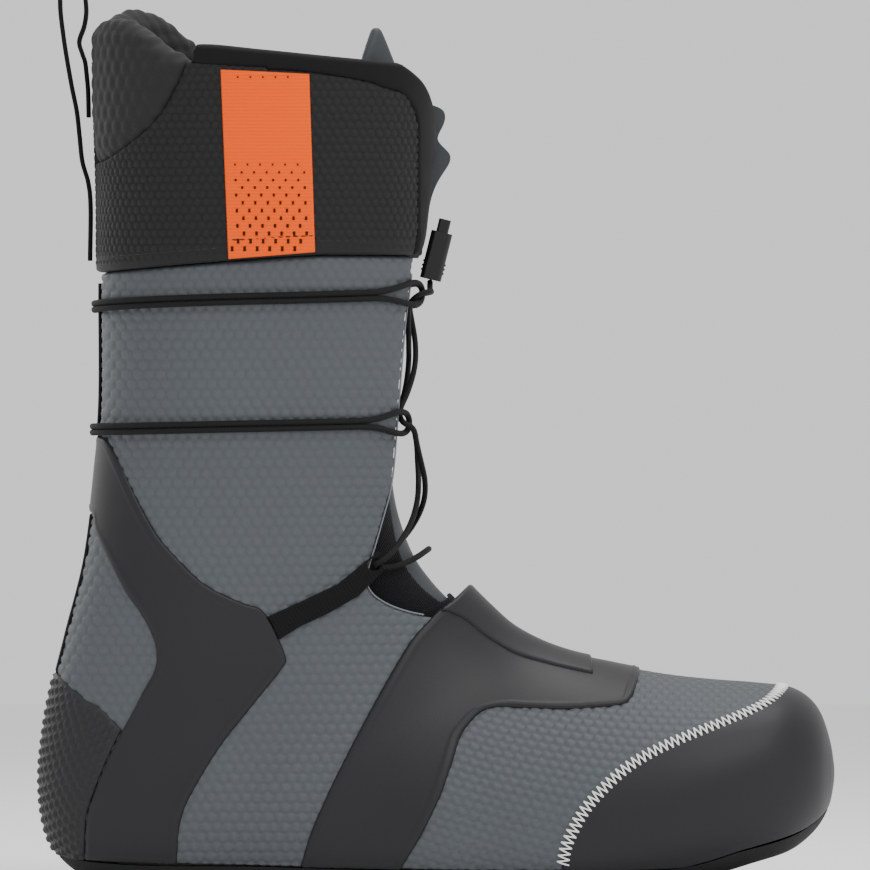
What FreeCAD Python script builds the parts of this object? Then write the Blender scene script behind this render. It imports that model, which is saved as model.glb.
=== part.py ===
import FreeCAD, Part
import Sketcher
import math
import os

# Removable inner liner of a right snowboard boot.
# Frame: millimetres, +Z up, toe towards +X, lateral (outer) side towards -Y.
# Origin: on the ground face of the outsole, on the centre plane.

V = FreeCAD.Vector

# ---------------------------------------------------------------- driving dimensions

SIZES = [
    ("boot_length", 288.0, "heel to toe, outside"),
    ("boot_height", 300.0, "ground to the top edge of the cuff"),
    ("shaft_width", 104.0, "across the cuff"),
    ("heel_width", 76.0, "across the heel"),
    ("ball_width", 102.0, "across the ball of the foot"),
    ("foam_wall", 5.5, "EVA shell wall"),
    ("lining_wall", 1.5, "lining textile with its backing foam"),
    ("overlay_wall", 1.2, "moulded harness, heel cup and instep overlay"),
    ("ridge_wall", 1.0, "raised panel on the instep overlay"),
    ("glue_gap", 0.05, "glue film under the instep overlay"),
    ("stay_wall", 0.9, "tape over the back seam"),
    ("toe_proud", 0.6, "toe cap above the vamp"),
    ("cuff_wall", 2.2, "cuff laminate over the foam"),
    ("label_wall", 0.9, "webbing label"),
    ("binding_wall", 0.7, "edge binding, each side"),
    ("pad_out", 4.5, "calf pad outside the foam line"),
    ("pad_in", 9.5, "calf pad inside the foam line"),
    ("pad_gap", 14.0, "valley between the two calf pads"),
    ("tongue_wall", 7.0, "tongue foam at its centre"),
    ("tongue_edge", 1.5, "tongue foam at its side edges"),
    ("tongue_gap", 0.6, "between tongue and lining"),
    ("shield_width", 21.0, "ribbed shield on the tongue"),
    ("binding_width", 5.6, "edge binding along the throat"),
    ("board_wall", 2.0, "lasting board"),
    ("footbed_wall", 4.0, "footbed foam"),
    ("cover_wall", 0.9, "footbed top cloth"),
    ("sole_proud", 0.6, "outsole rim outside the foam"),
    ("groove_depth", 1.2, "flex grooves under the outsole"),
    ("groove_width", 2.4, "flex grooves under the outsole"),
    ("ankle_pad_wall", 2.0, "foam pad let into the shell"),
    ("strap_wall", 1.6, "harness webbing"),
    ("eye_size", 4.4, "hole for the lace in the harness webbing"),
    ("stitch_wall", 0.5, "zigzag stitching above the toe cap"),
    ("stitch_width", 4.4, "zigzag stitching"),
    ("cord_size", 2.0, "shin cord diameter"),
    ("lace_size", 2.0, "lace diameter"),
    ("back_cord_size", 1.4, "cord down the back"),
    ("loop_wall", 1.5, "pull loop webbing thickness"),
    ("loop_width", 12.0, "pull loop webbing width"),
    ("lock_length", 17.6, "lace lock housing"),
    ("lock_depth", 7.8, "lace lock, front to back"),
    ("lock_width", 13.0, "lace lock, side to side"),
    ("lock_wall", 1.4, "lace lock housing wall"),
    ("button_length", 11.0, "lace lock button"),
    ("button_proud", 4.8, "lace lock button above its housing"),
    ("button_play", 0.3, "lace lock button inside its housing, each side"),
    ("button_travel", 3.0, "lace lock button"),
    ("spring_wire", 0.6, "lace lock spring"),
    ("spring_size", 3.4, "lace lock spring, mean diameter"),
    ("moving_gap", 0.4, "clearance between bodies that move"),
]

doc = FreeCAD.newDocument("boot_liner")
sheet = doc.addObject("Spreadsheet::Sheet", "sizes")
for row, (alias, value, note) in enumerate(SIZES, start=1):
    sheet.set("A%d" % row, alias)
    sheet.set("B%d" % row, str(value))
    sheet.set("C%d" % row, note)
    sheet.setAlias("B%d" % row, alias)
doc.recompute()


def size(alias):
    """Value of one driving dimension, read from the sheet."""
    return float(sheet.get(alias))


# Outlines below are drawn in side view for these overall sizes and stretched to the sheet's.
DRAWN_LENGTH = 288.0
DRAWN_HEIGHT = 300.0
DRAWN_WIDTH = 104.0


def spot(x, z):
    """Side-view point (x, z) of the drawn outline at the sheet's length and height."""
    return (x * size("boot_length") / DRAWN_LENGTH, z * size("boot_height") / DRAWN_HEIGHT)


# ---------------------------------------------------------------- the foot-shaped skin

# Each station is a section across the boot in a plane that stands on the side view:
# back or bottom point, front or top point, width it follows and share of it,
# height of the belly as a share of the section, roundness behind/below and in front/above.
STATIONS = [
    ((-121, 335), (0, 335), "shaft_width", 1.02, 0.50, 2.3, 2.4),
    ((-121, 284), (0, 284), "shaft_width", 1.00, 0.50, 2.3, 2.4),
    ((-120, 248), (-1, 248), "shaft_width", 0.98, 0.50, 2.3, 2.4),
    ((-120, 212), (-3, 212), "shaft_width", 0.94, 0.50, 2.3, 2.4),
    ((-120, 175), (-7, 175), "shaft_width", 0.885, 0.50, 2.3, 2.4),
    ((-122, 150), (-8, 157), "shaft_width", 0.845, 0.50, 2.3, 2.4),
    ((-126, 118), (-6, 139), "shaft_width", 0.805, 0.50, 2.3, 2.3),
    ((-133, 90), (-1, 124), "heel_width", 1.05, 0.48, 2.3, 2.2),
    ((-139.5, 62.5), (5, 115), "heel_width", 1.01, 0.46, 2.3, 2.1),
    ((-142, 36), (12, 107.5), "heel_width", 1.00, 0.44, 2.4, 2.05),
    ((-138, 15), (19, 100.5), "heel_width", 1.00, 0.42, 2.6, 2.0),
    ((-125, 3), (28, 92.5), "heel_width", 1.02, 0.40, 2.9, 2.0),
    ((-102.5, -1.5), (39, 86.5), "heel_width", 1.05, 0.38, 3.2, 1.95),
    ((-70, -2), (50.5, 82.5), "ball_width", 0.81, 0.36, 3.4, 1.95),
    ((-30, -2), (62.5, 80), "ball_width", 0.87, 0.34, 3.5, 1.95),
    ((10, -2), (75, 77.5), "ball_width", 0.945, 0.33, 3.6, 2.0),
    ((46, -2), (87.5, 75.5), "ball_width", 1.00, 0.32, 3.6, 2.05),
    ((75, 0), (102, 74), "ball_width", 1.01, 0.33, 3.4, 2.1),
    ((98.5, 3.5), (115.5, 73), "ball_width", 0.96, 0.36, 3.0, 2.2),
    ((116.5, 8.5), (127.5, 71.5), "ball_width", 0.865, 0.40, 2.7, 2.3),
    ((129.5, 13), (135, 68), "ball_width", 0.73, 0.44, 2.5, 2.3),
    ((138.5, 20.5), (140, 62), "ball_width", 0.55, 0.47, 2.4, 2.3),
    ((143, 28.5), (143.3, 52.5), "ball_width", 0.32, 0.50, 2.3, 2.2),
    ((144.6, 35.5), (144.7, 44.5), "ball_width", 0.14, 0.50, 2.2, 2.2),
]
LAST = len(STATIONS) - 1
AROUND = 16          # steps of the half section, front to back
NUDGE = 0.02         # parameter step for the surface normal


def station_values(index):
    """One station as plain numbers at the sheet's sizes."""
    back, front, width, share, belly, low, high = STATIONS[index]
    back_x, back_z = spot(*back)
    front_x, front_z = spot(*front)
    half = size(width) / 2 * share
    return (back_x, back_z, front_x, front_z, half, belly, low, high)


STATION_VALUES = [station_values(index) for index in range(LAST + 1)]


def blended_station(along):
    """Station values at a place between two stations, by a smooth (Catmull-Rom) blend."""
    first = min(max(int(math.floor(along)), 0), LAST - 1)
    part = along - first
    rows = [STATION_VALUES[min(max(first + step, 0), LAST)] for step in (-1, 0, 1, 2)]
    values = []
    for p0, p1, p2, p3 in zip(*rows):
        bend = 2 * p0 - 5 * p1 + 4 * p2 - p3
        twist = 3 * (p1 - p2) + p3 - p0
        values.append(p1 + 0.5 * part * (p2 - p0 + part * (bend + part * twist)))
    return values


def bare_point(along, turn):
    """Point of the foam's outer surface; turn is 0 at the front or top and pi at the back or sole."""
    back_x, back_z, front_x, front_z, half, belly, low, high = blended_station(along)
    run_x = front_x - back_x
    run_z = front_z - back_z
    cosine = math.cos(turn)
    sine = math.sin(turn)
    if cosine >= 0:
        power = 2 / high
        reach = belly + (1 - belly) * cosine ** power
    else:
        power = 2 / low
        reach = belly - belly * (-cosine) ** power
    side = math.copysign(abs(sine) ** power, sine) * half
    return V(back_x + run_x * reach, side, back_z + run_z * reach)


def skin_point(along, turn, offset, in_plane=False):
    """Skin point moved outwards by offset along the normal, or along it within the section's plane."""
    if along >= LAST:
        return bare_point(LAST, turn) + V(offset, 0, 0)
    along_step = bare_point(along + NUDGE, turn) - bare_point(along - NUDGE, turn)
    turn_step = bare_point(along, turn + NUDGE) - bare_point(along, turn - NUDGE)
    normal = along_step.cross(turn_step)
    if in_plane:
        run = bare_point(along, 0) - bare_point(along, math.pi)
        across = run.cross(V(0, 1, 0)).normalize()
        normal = normal - across * normal.dot(across)
    return bare_point(along, turn) + normal.normalize() * offset


HALVES = {}


def half_solid(offset, last=LAST):
    """Solid inside the skin moved out by offset, medial half, from the top down to station last."""
    key = (round(offset, 4), last)
    if key in HALVES:
        return HALVES[key]
    grid = []
    for row in range(2 * last + 1):
        along = row / 2
        at_end = along in (0, last)
        points = [skin_point(along, math.pi * step / AROUND, offset, at_end) for step in range(AROUND + 1)]
        points[0].y = 0
        points[-1].y = 0
        grid.append(points)
    for point in grid[0]:
        point.z -= 0.2 * offset
    surface = Part.BSplineSurface()
    surface.interpolate(grid)
    face = surface.toShape()
    lines = [Part.makeLine(row[0], row[-1]) for row in (grid[0], grid[-1])]
    flat_edges = []
    section_edges = []
    for edge in face.Edges:
        middle = edge.valueAt((edge.FirstParameter + edge.LastParameter) / 2)
        if abs(middle.y) < 1e-6:
            flat_edges.append(edge)
        else:
            section_edges.append(edge)
    section_edges.sort(key=lambda edge: edge.distToShape(lines[0])[0])
    faces = [face, Part.Face(Part.Wire(Part.__sortEdges__(flat_edges + lines)))]
    for edge, line in zip(section_edges, lines):
        faces.append(Part.Face(Part.Wire(Part.__sortEdges__([edge, line]))))
    shell = Part.makeShell(faces)
    shell.sewShape()
    solid = Part.makeSolid(shell)
    if solid.Volume < 0:
        solid.reverse()
    HALVES[key] = solid
    return solid


def mirrored(shape):
    """The same shape on the other side of the centre plane."""
    return shape.mirror(V(0, 0, 0), V(0, 1, 0))


WHOLES = {}


def whole_solid(offset, last=LAST):
    """Both halves of half_solid as one solid."""
    key = (round(offset, 4), last)
    if key not in WHOLES:
        half = half_solid(offset, last)
        WHOLES[key] = half.fuse(mirrored(half))
    return WHOLES[key]


# ---------------------------------------------------------------- side-view outlines

FAR = 90.0           # beyond the widest section
BELOW = -12.0        # beneath the ground face


def side_face(stretches):
    """Face in side view from stretches of drawn points; each is joined smoothly inside itself."""
    edges = []
    first = None
    previous = None
    for kind, points in stretches:
        places = [V(spot(x, z)[0], 0, spot(x, z)[1]) for x, z in points]
        if first is None:
            first = places[0]
        if previous is not None and (previous - places[0]).Length > 1e-6:
            edges.append(Part.makeLine(previous, places[0]))
        if kind == "curve" and len(places) > 2:
            curve = Part.BSplineCurve()
            curve.interpolate(places)
            edges.append(curve.toShape())
        else:
            edges += [Part.makeLine(a, b) for a, b in zip(places, places[1:])]
        previous = places[-1]
    if (previous - first).Length > 1e-6:
        edges.append(Part.makeLine(previous, first))
    return Part.Face(Part.Wire(edges))


def prism(stretches, near=0.0, far=FAR):
    """Side-view outline as a solid between two distances from the centre plane."""
    face = side_face(stretches)
    face.translate(V(0, near, 0))
    return face.extrude(V(0, far - near, 0))


def across(y):
    """Sideways place at the sheet's width."""
    return y * size("shaft_width") / DRAWN_WIDTH


def front_prism(points, wider, x_from, x_to):
    """Everything between the centre plane and a front-view edge moved sideways by wider."""
    places = []
    for y, z in points:
        shift = wider if y > 0 else 0.0
        places.append(V(x_from, across(y) + shift, spot(0, z)[1]))
    curve = Part.BSplineCurve()
    curve.interpolate(places)
    edges = [curve.toShape()]
    corners = [places[-1], V(x_from, places[-1].y, 400), V(x_from, -1, 400), V(x_from, -1, places[0].z), places[0]]
    edges += [Part.makeLine(a, b) for a, b in zip(corners, corners[1:])]
    return Part.Face(Part.Wire(edges)).extrude(V(x_to - x_from, 0, 0))


def slab(x_from, x_to, y_from, y_to, z_from, z_to):
    """Box between two corners, in real millimetres."""
    return Part.makeBox(x_to - x_from, y_to - y_from, z_to - z_from, V(x_from, y_from, z_from))


FEATHER = [(-155, 13.5), (-135, 10), (-125, 8.7), (-66, 7.2), (-37, 6.4), (24, 5.4), (82, 6), (96, 8),
           (109, 12), (133, 19.5), (145, 29), (156, 42)]
HEM = [(-140, 220.5), (-122, 221.8), (-92, 224), (-60, 226.4), (-40, 227.6)]
HEM_LEVEL = 227.6    # the hem is level in front of the fold line, so that the flaps can swing
CUFF_EDGE = [(-86.6, 301.6), (-83.4, 303.4), (-60, 301.3), (-36, 299), (-11, 296.9), (20, 294)]
BINDING_EDGE = [(-87, 296.2), (-77, 295.4), (-43.5, 293.6), (-22, 290.7), (-15, 288.6), (20, 286)]
PAD_SEAM = [(-123, 259.6), (-116.4, 262), (-108.8, 267.2), (-102, 272.6), (-96, 279.5), (-91.3, 288),
            (-88.5, 294), (-87, 299)]
PAD_TOP_LATERAL = [(-87, 299), (-94.6, 300.8), (-102, 306), (-108.8, 310.7), (-115.6, 313.6),
                   (-120.3, 313.6), (-124.7, 310.7), (-127, 304.5)]
PAD_TOP_MEDIAL = [(-87, 299), (-89, 306.3), (-94.6, 310), (-101, 315), (-107.3, 317.6), (-113.5, 318.3),
                  (-118.5, 316.6), (-122, 313.6), (-125, 309), (-127, 304.5)]
HARNESS_FRONT = [(-132, 162.8), (-121, 162.8), (-117.8, 160), (-113.5, 152), (-107.3, 139.4),
                 (-100.4, 127.6), (-94, 120), (-82.3, 109), (-68.5, 102.2), (-62.7, 100.4),
                 (-59.4, 97), (-56.5, 91.5), (-53, 82.6), (-54.6, 78.3), (-64.2, 66.3), (-76.8, 50.4),
                 (-87, 33.7), (-90.6, 25.4), (-92, 17.8), (-92.8, 0)]
HARNESS_BACK = [(-126.4, 0), (-126, 16.3), (-125.4, 24.6), (-123.2, 32.3), (-117, 47.5), (-108.8, 62.7),
                (-104.4, 71), (-100.4, 78.3), (-100, 85.2), (-102, 91.7), (-105.8, 98.6), (-111.3, 106),
                (-117, 116.4), (-122.2, 127), (-124.3, 134.5), (-132, 134.5)]
HEEL_CUP_TOP = [(-148, 84), (-140.7, 80.8), (-135.6, 75.4), (-126, 67.4), (-120.3, 64.2), (-112.5, 56.5)]
HEEL_CUP_FRONT = [(-112.5, 56.5), (-117, 47.5), (-123.2, 32.3), (-125.4, 24.6), (-126, 16.3), (-126.4, 0)]
OVERLAY_BACK = [(-49.5, 0), (-45, 17), (-39, 31.5), (-34, 42), (-27.6, 54.4), (-20.5, 67.4), (-14, 78.7),
                (-7.6, 88.8), (-1.8, 95.3), (2.5, 99.5), (8.3, 103.7), (14.5, 110)]
OVERLAY_FRONT = [(76, 82), (74.7, 77.2), (73, 71.8), (71, 68), (68, 66.3), (60, 65.4), (48, 64.6),
                 (34, 64.9), (24.6, 65.2), (18, 63.8), (13.2, 59.4), (9.8, 54.4), (7, 45.7), (2.5, 33),
                 (-3.3, 20.7), (-10.5, 8), (-14.5, 0)]
RIDGE_EDGE = [(3.5, 99.5), (6.2, 99), (12, 96.5), (18, 91.7), (24, 87.7), (31, 84), (42, 80.8), (51, 78.7),
              (56.5, 77.6), (58, 78), (57.5, 84)]
VAMP_SEAM = [(2, 97.2), (-12, 62), (-28, 20), (-34, BELOW)]
TOE_SEAM = [(128, 80), (127, 73), (124, 69), (118.5, 65), (109.5, 61), (99, 57), (89.5, 53.3), (80.5, 49.3),
            (71.4, 44.2), (63, 37.3), (55, 28.6), (49.7, 19.6), (47, 11.6), (46, 0)]
STRAP = [(-60, 97), (-48.2, 102.2), (-33.7, 109), (-24.6, 116.5), (-19.2, 120.6), (-17, 114.6), (-26.5, 104.8),
         (-37.3, 98.6), (-48.2, 93.5), (-56, 88.5)]
LABEL = [(-76.5, 294.2), (-44.4, 292.6), (-42.3, 228.5), (-73.7, 226)]
TONGUE_BACK = [(-34, 268), (-34, 230), (-33, 200), (-31, 170), (-28, 145), (-22, 125), (-14, 112), (-2, 104)]
TONGUE_TIP = [(-12, 295), (-17.4, 308), (-19.2, 309.6), (-20.7, 308), (-24.6, 298), (-30, 280.6)]
# Front view, medial half: sideways place and height of the throat's edge, from the vamp up
# to the rounded top corner of the cuff flap, and of the gusset's inner edge.
THROAT = [(0, 106), (12, 102), (20, 97.5), (26.5, 100.5), (30.3, 108), (30.5, 117), (28.3, 131), (25.2, 143),
          (23.3, 155), (23.2, 170), (25, 189), (26, 206), (24.7, 227), (21.8, 241), (17.5, 256), (14.8, 268),
          (16.6, 278), (22, 285), (27.5, 290), (34, 294), (41, 298)]
GUSSET_INNER = [(0, 101), (9, 103.5), (14, 112), (16, 124), (16, 152)]
SHIELD = [(-16, 290), (-9, 292), (1.4, 281.7), (4, 279.8), (4.3, 277), (1.8, 269.7), (6.2, 264), (3.6, 257.7),
          (-1, 247), (-2.9, 233.4), (-5.4, 227), (-16, 227)]
ANKLE_PAD = [(-104, 128), (-84, 120), (-74, 104), (-75, 84), (-84, 72), (-88, 80), (-84, 96), (-92, 110),
             (-108, 118)]

ABOVE = 345.0
HINGE_X = -40.0      # drawn place of the cuff's fold line, just in front of the label




def raised(points, rise):
    """Drawn points moved up by a real distance."""
    step = rise * DRAWN_HEIGHT / size("boot_height")
    return [(x, z + step) for x, z in points]


def feather_band(low, high):
    """Everything between two heights above the feather line, where upper and sole meet."""
    lower = raised(FEATHER, low)
    upper = raised(FEATHER, high)
    return prism([("curve", lower), ("curve", upper[::-1])], -FAR)


def strip(points, width):
    """Closed outline of a strip of one width along a drawn line."""
    left = []
    right = []
    for index, (x, z) in enumerate(points):
        before = points[max(index - 1, 0)]
        after = points[min(index + 1, len(points) - 1)]
        run_x = after[0] - before[0]
        run_z = after[1] - before[1]
        run = math.hypot(run_x, run_z)
        shift_x = -run_z / run * width / 2 * DRAWN_LENGTH / size("boot_length")
        shift_z = run_x / run * width / 2 * DRAWN_HEIGHT / size("boot_height")
        left.append((x + shift_x, z + shift_z))
        right.append((x - shift_x, z - shift_z))
    return [("curve", left), ("curve", right[::-1])]


def layer(outer, inner, last=LAST):
    """Medial half of the skin between two offsets."""
    return half_solid(outer, last).cut(whole_solid(inner, last))


def solids_of(shape):
    """A boolean's result as one solid where it is one, else as a compound of its solids."""
    solids = [solid for solid in shape.Solids if solid.Volume > 1.0]
    if len(solids) == 1:
        return solids[0]
    return Part.makeCompound(solids)


PIECES = []


def add_piece(name, shape):
    """One sub-part of the document: its own label and placement."""
    piece = doc.addObject("Part::Feature", name)
    piece.Label = name
    piece.Shape = solids_of(shape)
    piece.Placement = FreeCAD.Placement()
    PIECES.append(piece)


def add_pair(name, half):
    """A lateral and a medial copy of one half piece."""
    add_piece(name + "_lateral", mirrored(half))
    add_piece(name + "_medial", half)


def both_sides(half):
    """One solid across the centre plane from its medial half."""
    return half.fuse(mirrored(half)).removeSplitter()


# ---------------------------------------------------------------- offsets of the layers

foam_in = -size("foam_wall")
lining_in = foam_in - size("lining_wall")
tongue_out = lining_in - size("tongue_gap")
overlay_out = size("overlay_wall")
cuff_out = size("cuff_wall")
binding_out = cuff_out + size("binding_wall")
binding_in = lining_in - 0.2
gap = size("moving_gap")
hinge_x = spot(HINGE_X, 0)[0]
hem_z = spot(0, HEM_LEVEL)[1]

# ---------------------------------------------------------------- zones shared by the layers

above_feather = prism([("curve", FEATHER), ("line", [(160, ABOVE), (-160, ABOVE)])], -FAR)
throat = front_prism(THROAT, 0, -60, 60)
throat_wide = front_prism(THROAT, size("binding_width"), -60, 60)
below_hem = prism(
    [("line", [(-160, BELOW), (-160, 220)]), ("curve", HEM), ("line", [(160, HEM_LEVEL), (160, BELOW)])]
).cut(throat)
behind_seam = prism([("line", [(-160, BELOW), (-160, 240), (2, 240)]), ("curve", VAMP_SEAM)])
before_seam = prism([("curve", VAMP_SEAM), ("line", [(170, BELOW), (170, 120), (2, 120)])])
toe_zone = prism([("curve", TOE_SEAM), ("line", [(46, BELOW), (170, BELOW), (170, 120), (128, 120)])])
below_edge = prism(
    [("curve", HEM), ("line", [(60, HEM_LEVEL), (60, 290), (20, 294)]), ("curve", CUFF_EDGE[::-1]),
     ("line", [(-160, 296.2), (-160, 220.5)])]
).cut(throat)
below_binding = prism(
    [("curve", HEM), ("line", [(60, HEM_LEVEL), (60, 280), (20, 286)]), ("curve", BINDING_EDGE[::-1]),
     ("line", [(-160, 296.2), (-160, 220.5)])]
).cut(throat_wide)
rear_side = slab(-400, hinge_x - gap / 2, 0, FAR, BELOW, 400)
flap_side = slab(hinge_x + gap / 2, 400, 0, FAR, hem_z + gap, 400)
pad_side = slab(-400, 400, size("pad_gap") / 2, FAR, BELOW, 400)
pad_hole = prism([("curve", PAD_SEAM), ("line", [(-87, 340), (-160, 340), (-160, 257)])], size("pad_gap") / 2)
rear_zone = below_binding.common(rear_side).cut(pad_hole)
flap_zone = below_binding.common(flap_side)
binding_zone = below_edge.cut(below_binding).cut(pad_hole)
harness_zone = prism([("curve", HARNESS_FRONT), ("line", [(-92.8, BELOW), (-126.4, BELOW)]),
                      ("curve", HARNESS_BACK)])

# ---------------------------------------------------------------- sole

outsole = whole_solid(size("sole_proud")).cut(above_feather)
outsole = outsole.common(slab(-400, 400, -FAR, FAR, 0, 400))
for groove_x in (28, 44, 60, 76):
    start = spot(groove_x, 0)[0]
    outsole = outsole.cut(slab(start, start + size("groove_width"), -FAR, FAR, -1, size("groove_depth")))
add_piece("outsole", outsole)

board_top = size("board_wall")
footbed_low = board_top + gap
footbed_top = footbed_low + size("footbed_wall")
add_piece("lasting_board", whole_solid(foam_in).common(feather_band(0, board_top)))
footbed_zone = whole_solid(lining_in - gap)
add_piece("footbed", footbed_zone.common(feather_band(footbed_low, footbed_top)))
add_piece("footbed_cover", footbed_zone.common(feather_band(footbed_top, footbed_top + size("cover_wall"))))

# ---------------------------------------------------------------- foam shell and toe cap

foam = layer(0, foam_in).common(above_feather)
ankle_pad = layer(foam_in + size("ankle_pad_wall"), foam_in).common(prism([("curve", ANKLE_PAD + ANKLE_PAD[:1])]))
add_pair("ankle_pad", ankle_pad)
add_pair("quarter", foam.common(below_hem).common(behind_seam).cut(ankle_pad))
add_piece("vamp", both_sides(foam.common(before_seam).cut(toe_zone).cut(throat)))
toe_cap = layer(size("toe_proud"), foam_in).common(above_feather).common(toe_zone)
add_piece("toe_cap", both_sides(toe_cap))
seam_strip = prism(strip(TOE_SEAM[1:-1], size("stitch_width")))
stitching = layer(size("toe_proud") + size("stitch_wall"), 0).common(seam_strip).common(above_feather)
add_piece("toe_cap_stitching", both_sides(stitching.cut(toe_cap)))
add_piece("cuff_foam_rear", both_sides(foam.common(rear_zone)))
add_pair("flap_foam", foam.common(flap_zone))

# ---------------------------------------------------------------- lining

board_lift = feather_band(-30, board_top)
lining_zone = below_hem
lining = layer(foam_in, lining_in)
lining_foot = lining.common(lining_zone).cut(board_lift)
add_piece("lining", both_sides(lining_foot.fuse(lining.common(rear_zone))))
add_pair("flap_lining", lining.common(flap_zone))
gusset_top = spot(0, GUSSET_INNER[-1][1])[1]
gusset_zone = throat.common(slab(-400, 400, 0, FAR, 0, gusset_top)).cut(front_prism(GUSSET_INNER, 0, -60, 60))
add_pair("gusset", lining.common(gusset_zone))

# ---------------------------------------------------------------- cuff

cuff = layer(cuff_out, 0)
add_piece("cuff_rear", both_sides(cuff.common(rear_zone)))
add_pair("cuff_flap", cuff.common(flap_zone))
binding = layer(binding_out, binding_in).common(binding_zone)
add_pair("collar_binding", binding.common(rear_side))
add_pair("flap_binding", binding.common(flap_side))
pad = layer(size("pad_out"), -size("pad_in"), 6).common(pad_side)
pad_left = [(-140, 303), (-140, 257)]
pad_lateral = prism([("curve", PAD_SEAM), ("curve", PAD_TOP_LATERAL), ("line", pad_left)])
pad_medial = prism([("curve", PAD_SEAM), ("curve", PAD_TOP_MEDIAL), ("line", pad_left)])
add_piece("calf_pad_lateral", mirrored(pad.common(pad_lateral).common(pad_hole)))
add_piece("calf_pad_medial", pad.common(pad_medial).common(pad_hole))
label = layer(cuff_out + size("label_wall"), cuff_out).common(prism([("line", LABEL)]))
add_piece("label_tab", mirrored(label))

# ---------------------------------------------------------------- overlays

overlay = layer(overlay_out, 0).common(above_feather)
harness = overlay.common(harness_zone)
add_pair("heel_harness", harness)
heel_zone = prism([("curve", HEEL_CUP_TOP), ("curve", HEEL_CUP_FRONT), ("line", [(-126.4, BELOW), (-160, BELOW)])])
heel_cup = overlay.common(heel_zone).cut(harness_zone)
add_piece("heel_cup", both_sides(heel_cup))
stay_zone = slab(-400, -80, 0, 7.0, 60, 140)
stay = layer(size("stay_wall"), 0).common(stay_zone).cut(harness_zone).cut(heel_zone)
add_piece("back_stay", both_sides(stay.common(slab(-400, 0, 0, FAR, 60, spot(0, 134.5)[1]))))
instep_zone = prism(
    [("curve", OVERLAY_BACK), ("line", [(40, 112), (76, 92)]), ("curve", OVERLAY_FRONT),
     ("line", [(-14.5, BELOW), (-49.5, BELOW)])]
)
instep = layer(overlay_out, size("glue_gap")).common(above_feather)
add_piece("instep_overlay", both_sides(instep.common(instep_zone)))
ridge_zone = prism([("curve", RIDGE_EDGE), ("line", [(57.5, 112), (3.5, 112)])])
ridge = layer(overlay_out + size("ridge_wall"), overlay_out).common(ridge_zone).common(instep_zone)
add_piece("instep_ridge", both_sides(ridge))
strap_eye = Part.makeCylinder(size("eye_size") / 2, FAR, V(spot(-21.2, 0)[0], 0, spot(0, 116)[1]), V(0, 1, 0))
strap = layer(size("strap_wall"), 0).common(prism([("line", STRAP)])).cut(harness).cut(strap_eye)
add_pair("harness_strap", strap)

# ---------------------------------------------------------------- tongue

tongue_zone = prism(
    [("curve", TONGUE_BACK[::-1]), ("curve", TONGUE_TIP[::-1]), ("line", [(60, 295), (60, 104)])]
)
tongue_hollow = whole_solid(tongue_out - size("tongue_edge"), 10).copy()
tongue_hollow.translate(V(size("tongue_edge") - size("tongue_wall"), 0, 0))
add_piece("tongue", both_sides(half_solid(tongue_out, 10).common(tongue_zone).cut(tongue_hollow)))
shield = prism([("curve", SHIELD[1:-1]), ("line", [(-16, 227), (-16, 292)])], -size("shield_width") / 2,
               size("shield_width") / 2)
add_piece("tongue_shield", shield.cut(whole_solid(tongue_out, 10)))


# ---------------------------------------------------------------- cords and lace

CORD_TURN = 0.45     # share of the shorter run that each arc takes on its side of a corner


def cord_wire(points, closed=False):
    """Straight runs joined by tangent arcs through a list of points."""
    count = len(points)
    corners = range(count) if closed else range(1, count - 1)
    arcs = {}
    radii = []
    for index in corners:
        before = points[index - 1]
        here = points[index]
        after = points[(index + 1) % count]
        back = before - here
        ahead = after - here
        reach = CORD_TURN * min(back.Length, ahead.Length)
        back.normalize()
        ahead.normalize()
        half_turn = (math.pi - back.getAngle(ahead)) / 2
        radius = reach / math.tan(half_turn)
        centre_way = (back + ahead).normalize()
        middle = here + centre_way * (radius / math.cos(half_turn) - radius)
        arcs[index] = (here + back * reach, middle, here + ahead * reach)
        radii.append(round(radius, 1))
    edges = []
    previous = None if closed else points[0]
    for index in corners:
        start, middle, end = arcs[index]
        if previous is not None:
            edges.append(Part.makeLine(previous, start))
        edges.append(Part.Arc(start, middle, end).toShape())
        previous = end
    last = arcs[0][0] if closed else points[-1]
    edges.append(Part.makeLine(previous, last))
    return Part.Wire(edges), radii


def tube(name, points, diameter, closed=False):
    """Round tube along a cord's route; prints its radii and compares its volume."""
    wire, radii = cord_wire(points, closed)
    first = wire.OrderedEdges[0]
    start = first.valueAt(first.FirstParameter)
    way = first.tangentAt(first.FirstParameter)
    profile = Part.Wire([Part.makeCircle(diameter / 2, start, way)])
    solid = wire.makePipeShell([profile], True, False)
    wanted = math.pi * diameter ** 2 / 4 * wire.Length
    print(name, "length", round(wire.Length, 1), "radii", radii, "volume ratio", round(solid.Volume / wanted, 4))
    return solid


EYELET = [(0.31, 0.0), (0.355, 3.0), (0.46, 4.2), (0.60, 3.2), (0.73, 1.9)]
BAND_START = 0.86
BAND_STEPS = 15
BACK_START = 2.35    # from here the band lifts over the cord down the back
BACK_FULL = 2.85


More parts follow.
